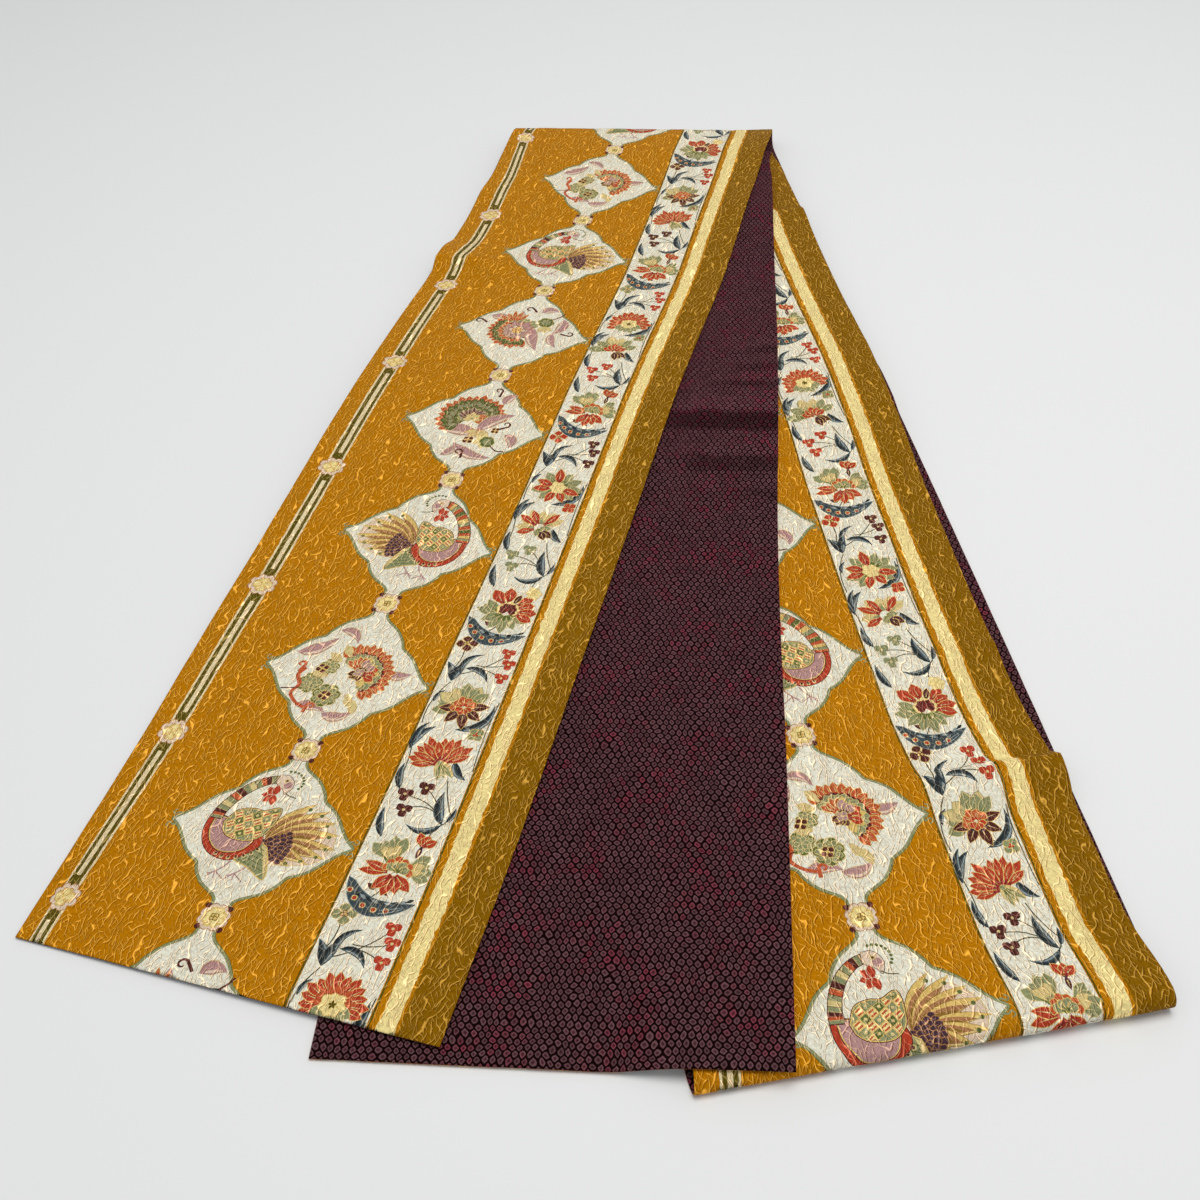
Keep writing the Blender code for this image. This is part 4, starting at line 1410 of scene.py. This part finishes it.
def cartouche(kind):
    """A white lobed lozenge with a green rim, small hooks at its sides and a picture."""
    quarter = np.array(QUARTER)
    down = quarter[::-1] * (1, -1)
    ring = np.vstack([quarter, down, -quarter, -down])
    dense = smooth_path(np.vstack([ring, ring[:1]]), 2)[:-1]
    shapes = rimmed("white", dense, ("moss", 2.5), ("sage", 2.0))
    for side in (-1, 1):
        for up in (-1, 1):
            path = smooth_path([(62 * side, 4.5 * up), (66 * side, 5.5 * up), (69 * side, 3.6 * up),
                                (70.5 * side, 6.5 * up), (68 * side, 8 * up)])
            shapes.append(("sage", stroke(path, 1.6, 0.8)))
    return shapes + cartouche_picture(kind)


def medallion():
    """The small round flower where two cartouches meet."""
    shapes = []
    for x in (-1, 1):
        for y in (-1, 1):
            shapes.append(("plum", lobed(2.3, 3, 0.1) + (8.0 * x, 8.6 * y)))
    shapes += [("rust", lobed(11.5, 8, 0.16)), ("blush", lobed(10.8, 8, 0.16)),
               ("gold", lobed(8.6, 8, 0.12))]
    shapes += bloom((("cream", "gold", 8, -180, 180, 1.5, 6.6, 4.2, 1.3),
                     ("gold", "olive", 4, -180, 180, 0, 3.2, 2.6, 1.2)))
    return shapes


def rosette():
    """The small round flower on the double line."""
    shapes = [("rust", lobed(12.2, 8, 0.2)), ("blush", lobed(11.4, 8, 0.2)),
              ("rust", lobed(8.1, 8, 0.25)), ("gold", lobed(7.6, 8, 0.25))]
    shapes += bloom((("cream", "gold", 4, -135, 225, 1.0, 6.5, 5.5, 1.4),))
    return shapes


# Leaves and stems of one length of the flowered border, from the border's left
# line and from its lotus, in mm; bow is how far the middle leans to the right.
BORDER_LEAVES = (
    # x0    y0     x1    y1    bow  width
    (48.0, 41.5, 40.5, 70.0, -3.0, 8.0),
    (48.0, 41.5, 23.0, 36.5, -6.0, 5.5),
    (50.0, 44.0, 53.5, 58.0, 1.5, 4.0),
    (10.0, 22.0, 3.0, 47.0, -2.0, 6.0),
    (7.5, 65.0, 3.0, 88.0, -2.0, 6.0),
    (39.5, 98.0, 52.0, 83.0, 3.0, 7.0),
    (1.5, 102.0, 14.0, 127.0, -4.0, 7.0),
    (3.0, 108.0, 8.0, 130.0, -3.0, 5.0),
    (3.5, 150.0, 9.0, 163.0, -2.0, 3.5),
    (10.0, 173.0, 0.8, 192.0, 2.0, 7.5),
    (10.0, 173.0, 17.0, 195.0, -2.0, 8.0),
    (14.0, 182.0, 27.0, 205.0, -6.0, 5.0),
    (17.0, 188.0, 38.0, 178.0, -5.0, 6.0),
    (29.0, 127.0, 51.5, 157.0, 9.0, 7.0),
)
BORDER_STEMS = (
    (39.5, 80.0, 53.5, 48.0, 1.5), (48.0, 41.5, 26.5, 70.0, 3.0),
    (46.0, 45.0, 13.0, 60.0, 5.0), (40.0, 51.0, 17.0, 48.0, 4.0),
    (50.5, 44.0, 42.0, 26.0, 2.0), (2.5, 104.0, 4.0, 66.0, -1.5),
    (2.0, 128.0, 10.0, 172.0, -4.0), (12.0, 180.0, 45.0, 208.0, 3.0),
    (24.0, 193.0, 49.0, 199.0, 2.0), (24.0, 190.0, 47.0, 184.0, -2.0),
    (9.5, 208.0, 5.0, 181.0, -2.5), (29.0, 140.0, 45.0, 127.0, 2.0),
    (54.0, 160.0, 54.5, 92.0, 1.5), (20.0, 228.0, 30.0, 246.0, 1.0),
)
# Each length of the border: its lotus, the berries on its left, its carnation,
# its round flower, the berries on its right and the small flower by the boat leaf.
BORDER_LENGTHS = (
    # lotus          berries  carnation        round              right    small
    ("bowl lotus", "plum", "fan carnation", "crowned lotus", "red", "plum"),
    ("open lotus", "sage", "lily", "star lotus", "plum", "red"),
    ("bowl lotus", "red", "tulip", "round carnation", "red", "sage"),
)


def border_length(lotus, left, carnation, round_one, right, small):
    """One length of the flowered border, from its own left line and lotus."""
    shapes = []
    for row in BORDER_STEMS:
        shapes.append(("twig", stroke(bowed(*row, 7), 1.0, 0.9)))
    for row in BORDER_LEAVES:
        shapes += leaf(*row)
    # the boat-shaped leaf that cradles the lotus, with a row of dots and a fringe
    outer = smooth_path([(0.8, -14), (5, -28), (13, -37), (24, -41), (36, -38), (46, -32),
                         (53, -25)], 3)
    inner = smooth_path([(53, -25), (44, -26.5), (34, -27.5), (24, -27), (14, -22.5),
                         (6.5, -16)], 3)
    shapes += [("mist", grown(np.vstack([outer, inner]), 0.5)),
               ("slate", np.vstack([outer, inner]))]
    for x, y in ((5.5, -24), (11, -29.5), (18.5, -33.8), (27, -35.5), (35.5, -34.3)):
        shapes += [("straw", lobed(2.4, 4, 0.2) + (x, y)), ("red", lobed(1.6, 4, 0.1) + (x, y))]
    for k in range(9):
        x, y = 9 + 4.6 * k, -22.5 - 6.4 * math.sin(math.pi * (k + 0.6) / 10)
        edge = turned(petal(6.5, 2.6, 1.2), 128 - 9 * k, x, y)
        shapes.append(("mist" if k % 2 else "navy", edge))
    for y in (-1.6, 1.0):
        path = smooth_path([(31, -36 + y), (38, -33.5 + y), (46, -29.5 + 0.5 * y)])
        shapes.append(("mist", stroke(path, 0.8, 0.5)))
    shapes += [("plum", turned(petal(8, 4.5), -60, 22, -20)),
               ("plum", turned(petal(8, 4.5), 130, 26, -18))]
    shapes += bloom(FLOWERS[lotus], 30, -1)
    if lotus == "bowl lotus":
        shapes += bloom(FLOWERS["bud"], 41, 21, 15, 1.15)
    else:
        shapes += bloom((("cream", "gold", 6, -180, 180, 0, 7, 5, 1.4),), 46, 21)
    shapes += bloom(FLOWERS[round_one], 28.5, 149, -8)
    shapes += bloom(FLOWERS[carnation], 27, 97, 0, 1.0)
    for x, y in ((26.5, 70), (13, 61.5), (17, 48)):
        shapes += berries(x, y, left, 1.0)
    for x, y in ((45.5, 210.5), (49, 199.5), (47.5, 184.5)):
        shapes += berries(x, y, right, 0.95)
    by_round = "sage" if small == "plum" else small
    shapes += bloom(((by_round, "gold", 4, -180, 180, 0, 6.5, 6, 1.4),
                     ("red", None, 3, -180, 180, 0, 2.4, 2, 1.2)), 46, 126)
    shapes += bloom(((small, "gold", 4, -150, 210, 0.5, 8, 7.5, 1.5),
                     ("gold", "plum", 3, -180, 180, 0, 2.6, 2.2, 1.2)), 9.5, 214)
    return shapes


# Straight stripes from edge to edge of the cloth, in mm across it.
STRIPES = (
    # yarn          from   to    unevenness
    ("ivory",       15.9, 17.7, 0.25),
    ("olive",       17.6, 27.4, 0.10),
    ("ivory",       27.3, 29.1, 0.25),
    ("olive",      203.3, 204.6, 0.15),
    ("white",      205.0, 260.0, 0.05),
    ("olive",      260.6, 262.0, 0.15),
    ("cream",      266.8, 279.0, 0.55),
    ("deep ochre", 281.2, 311.0, 0.30),
)

# How far the woven pattern has drifted, in mm, at three places across the
# cloth: the double line, the chain of cartouches and the flowered border.
DRIFT = (
    # along   aside: line  chain  border   ahead: line  chain  border
    (-200.0,  -7.0, -5.0, -1.7,   -6.0, 4.0, 0.0),
    (40.0,    -6.8, -5.0, -1.7,   -6.0, 4.0, 0.0),
    (195.0,   -0.5, -2.0, -0.7,  -11.0, -4.0, -2.0),
    (350.0,    2.8, 4.0, 1.0,     -6.0, -3.0, -6.0),
    (505.0,    3.2, 7.5, 3.0,    -11.0, -3.0, -6.0),
    (660.0,    4.0, 4.0, 3.5,     -6.0, -5.0, -5.0),
    (812.0,    3.5, -1.0, 2.5,   -14.0, -1.0, -8.0),
    (966.0,    5.8, 2.0, 2.0,    -22.0, -14.0, -12.0),
    (1120.0,  -3.5, 2.0, 0.0,     -2.0, -14.0, -15.0),
    (1300.0,   0.0, 0.0, 0.0,      0.0, 0.0, 0.0),
    (2300.0,   0.0, 2.4, 4.0,      0.0, 0.0, -2.0),
    (2430.0,   0.0, 2.4, 4.5,      0.0, 0.0, -2.0),
    (2506.0,   0.0, 2.4, 3.5,      0.0, 1.7, -2.5),
    (2660.0,   0.0, 2.4, 1.2,      0.0, 5.3, -3.5),
    (2900.0,   0.0, 2.4, 1.5,      0.0, 6.0, -3.3),
    (3190.0,   0.0, 2.4, 2.5,      0.0, 0.0, -13.0),
    (3500.0,   0.0, 0.0, 0.0,      0.0, 0.0, -10.0),
)


def drifted(points):
    """Points of the pattern moved as far as the weave has drifted there."""
    table = np.array(DRIFT)
    places = (0.0, 22.5, 131.8, 204.0, 262.0, 310.0)
    out = points.copy()
    for axis, (line, chain, border) in ((0, (1, 2, 3)), (1, (4, 5, 6))):
        columns = [np.interp(points[:, 1], table[:, 0], table[:, k])
                   for k in (line, chain, border)]
        still = 0 * columns[0]
        if axis == 0:
            columns = [still, columns[0], columns[1], columns[2], 0.3 * columns[2], still]
        else:
            columns = [columns[0], columns[0], columns[1], columns[2], columns[2], columns[2]]
        for k in range(len(places) - 1):
            t = (points[:, 0] - places[k]) / (places[k + 1] - places[k])
            held = (t >= 0) & (t < 1) if k < len(places) - 2 else (t >= 0)
            t = np.clip(t, 0, 1)
            out[:, axis] += np.where(held, columns[k] * (1 - t) + columns[k + 1] * t, 0)
    return out


def whole_chart(first, last):
    """Every woven shape between two lengths along the strip, lowest first."""
    chart = []
    along = np.arange(first, last + 0.1, 4.0)
    for yarn, x0, x1, rough in STRIPES:
        edges = []
        for k, x in enumerate((x0, x1)):
            wave = np.array([noise.noise(Vector((0.31 * y, 9.1 * x, 0.5))) for y in along])
            edges.append(np.column_stack([x + 2.2 * rough * wave, along]))
        chart.append((yarn, np.vstack([edges[0], edges[1][::-1]])))
    for k in range(int(first // PITCH) - 1, int(last // PITCH) + 2):
        y = 42.0 + PITCH * k
        bar = np.array([(20.8, y + 19), (24.4, y + 19), (24.4, y + PITCH - 19),
                        (20.8, y + PITCH - 19)])
        bar = np.vstack([np.linspace(a, b, 12, endpoint=False)
                         for a, b in zip(bar, np.roll(bar, -1, 0))])
        chart.append(("ivory", bar))
        chart += placed(rosette(), 22.5, y)
        chart += placed(cartouche(k % 5), 131.8, y + 0.5 * PITCH)
        chart += placed(medallion(), 131.8, y)
    length = 5 * PITCH / 3
    for k in range(int(first // length) - 1, int(last // length) + 2):
        chart += placed(border_length(*BORDER_LENGTHS[k % 3]), 205.0, 112.0 + length * k)
    return [(c, drifted(p)) for c, p in chart if p[:, 1].max() > first and p[:, 1].min() < last]


OVERHANG = 0.5               # mm that the pattern runs past each long edge
chart = whole_chart(weave.min() - 20, weave.max() + 20)
chart = [(yarn, np.column_stack([np.clip(p[:, 0], -OVERHANG, wide + OVERHANG), p[:, 1]]))
         for yarn, p in chart]


def ridges(where, apart, lean, line, gaps, seed):
    """Thin wandering ridges along the cloth, some mm apart, that lean aside and have gaps."""
    moved = vector_maths("ADD", where, (seed, 3.1 * seed, 0.0))
    place = vector_maths("DOT_PRODUCT", moved, (1 / apart, lean / apart, 0.0))
    bend = noise_at(vector_maths("MULTIPLY", moved, (0.09, 0.05, 0.0)), 1.0, 1.0, 0.5)
    level = maths("PINGPONG", maths("MULTIPLY_ADD", bend, 2.5, place), 0.5)
    strength = between(noise_at(moved, gaps, 1.0), 0.40, 0.52)
    near = between(level, 0.0, maths("MULTIPLY_ADD", strength, line, 0.01))
    return maths("MULTIPLY", maths("SUBTRACT", 1.0, near), strength)


# The crinkle of the ground, in mm of flat cloth: three sets of fine ridges that stand up; in the
# material below each gets a painted highlight and casts painted shade on the weave beside it.
tree = crinkle = bpy.data.node_groups.new("crinkle", "ShaderNodeTree")
crinkle.interface.new_socket(name="Vector", in_out="INPUT", socket_type="NodeSocketVector")
crinkle.interface.new_socket(name="Ridge", in_out="OUTPUT", socket_type="NodeSocketFloat")
crinkle.interface.new_socket(name="Height", in_out="OUTPUT", socket_type="NodeSocketFloat")
entry, leave = node("NodeGroupInput"), node("NodeGroupOutput")
at = entry.outputs[0]
RIDGE = 0.135                # width of a ridge, as a part of the space between two
long_ones = ridges(at, 4.8, 0.10, RIDGE, 0.09, 0.0)
short_ones = ridges(at, 4.2, -0.40, RIDGE, 0.13, 57.0)
small_ones = ridges(at, 4.2, 0.80, RIDGE, 0.16, 91.0)
ridge = maths("MAXIMUM", long_ones, maths("MULTIPLY", short_ones, 0.9))
ridge = maths("MAXIMUM", ridge, maths("MULTIPLY", small_ones, 0.7))
swell = noise_at(vector_maths("MULTIPLY", at, (0.34, 0.19, 0.0)), 1.0, 2.0, 0.6)
put(leave, "Ridge", ridge)
put(leave, "Height", maths("MULTIPLY_ADD", swell, 1.1, ridge))

brocade = bpy.data.materials.new("ochre brocade")
brocade.use_nodes = True
tree = brocade.node_tree
silk = tree.nodes["Principled BSDF"]
weft = node("ShaderNodeUVMap", uv_map="weave")
cloth_mm = vector_maths("MULTIPLY", weft, (1000.0, 1000.0, 0.0))

# The dyed yarn, a little uneven, gets a painted highlight on a ridge and painted shade beside it.
here = node("ShaderNodeGroup", node_tree=crinkle)
put(here, 0, cloth_mm)
TOWARDS_LIGHT = (-0.75, 0.4, 0.0)    # mm; a ridge that stands on that side casts shade
beside = node("ShaderNodeGroup", node_tree=crinkle)
put(beside, 0, vector_maths("ADD", cloth_mm, TOWARDS_LIGHT))
painted_ridge_shade = maths("SUBTRACT", beside.outputs["Height"], here.outputs["Height"], clamp=True)
yarn = node("ShaderNodeAttribute", attribute_name="yarn", attribute_type="GEOMETRY")
mottle = noise_at(cloth_mm, 0.42, 3.0, 0.65)
patch = noise_at(cloth_mm, 0.03, 2.0, 0.5)
tone = maths("MULTIPLY", maths("MULTIPLY_ADD", mottle, 0.8, 0.55),
             maths("MULTIPLY_ADD", patch, 0.16, 0.92))
dyed = mixed(1.0, yarn.outputs["Color"], tone, "MULTIPLY")
# painted highlight: a lighter, paler copy of the yarn colour, laid on the ridges
painted_ridge_highlight = node("ShaderNodeGamma")
put(painted_ridge_highlight, 0, dyed)
put(painted_ridge_highlight, 1, 0.60)
painted_ridge_highlight = mixed(1.0, painted_ridge_highlight, (1.84, 1.50, 1.14, 1), "MULTIPLY")
painted_ridge_highlight = mixed(0.06, painted_ridge_highlight, (1.0, 0.9, 0.8, 1))
lit = mixed(maths("MULTIPLY", here.outputs["Ridge"], 1.0, clamp=True), dyed, painted_ridge_highlight)
# painted shade on the weave beside each ridge
shaded = mixed(maths("MULTIPLY", painted_ridge_shade, 0.95, clamp=True), lit,
               mixed(1.0, lit, (0.42, 0.32, 0.24, 1), "MULTIPLY"))
put(silk, "Base Color", shaded)
bump = node("ShaderNodeBump")
put(bump, "Strength", 1.0)
put(bump, "Distance", 0.0006)
put(bump, "Height", here.outputs["Height"])
put(silk, "Normal", bump)
silk.inputs["Specular Tint"].default_value = (1.0, 0.75, 0.35, 1)
silk.inputs["Roughness"].default_value = 0.55
silk.inputs["Specular IOR Level"].default_value = 0.05

lay_cloth("face", 1, chart, brocade)
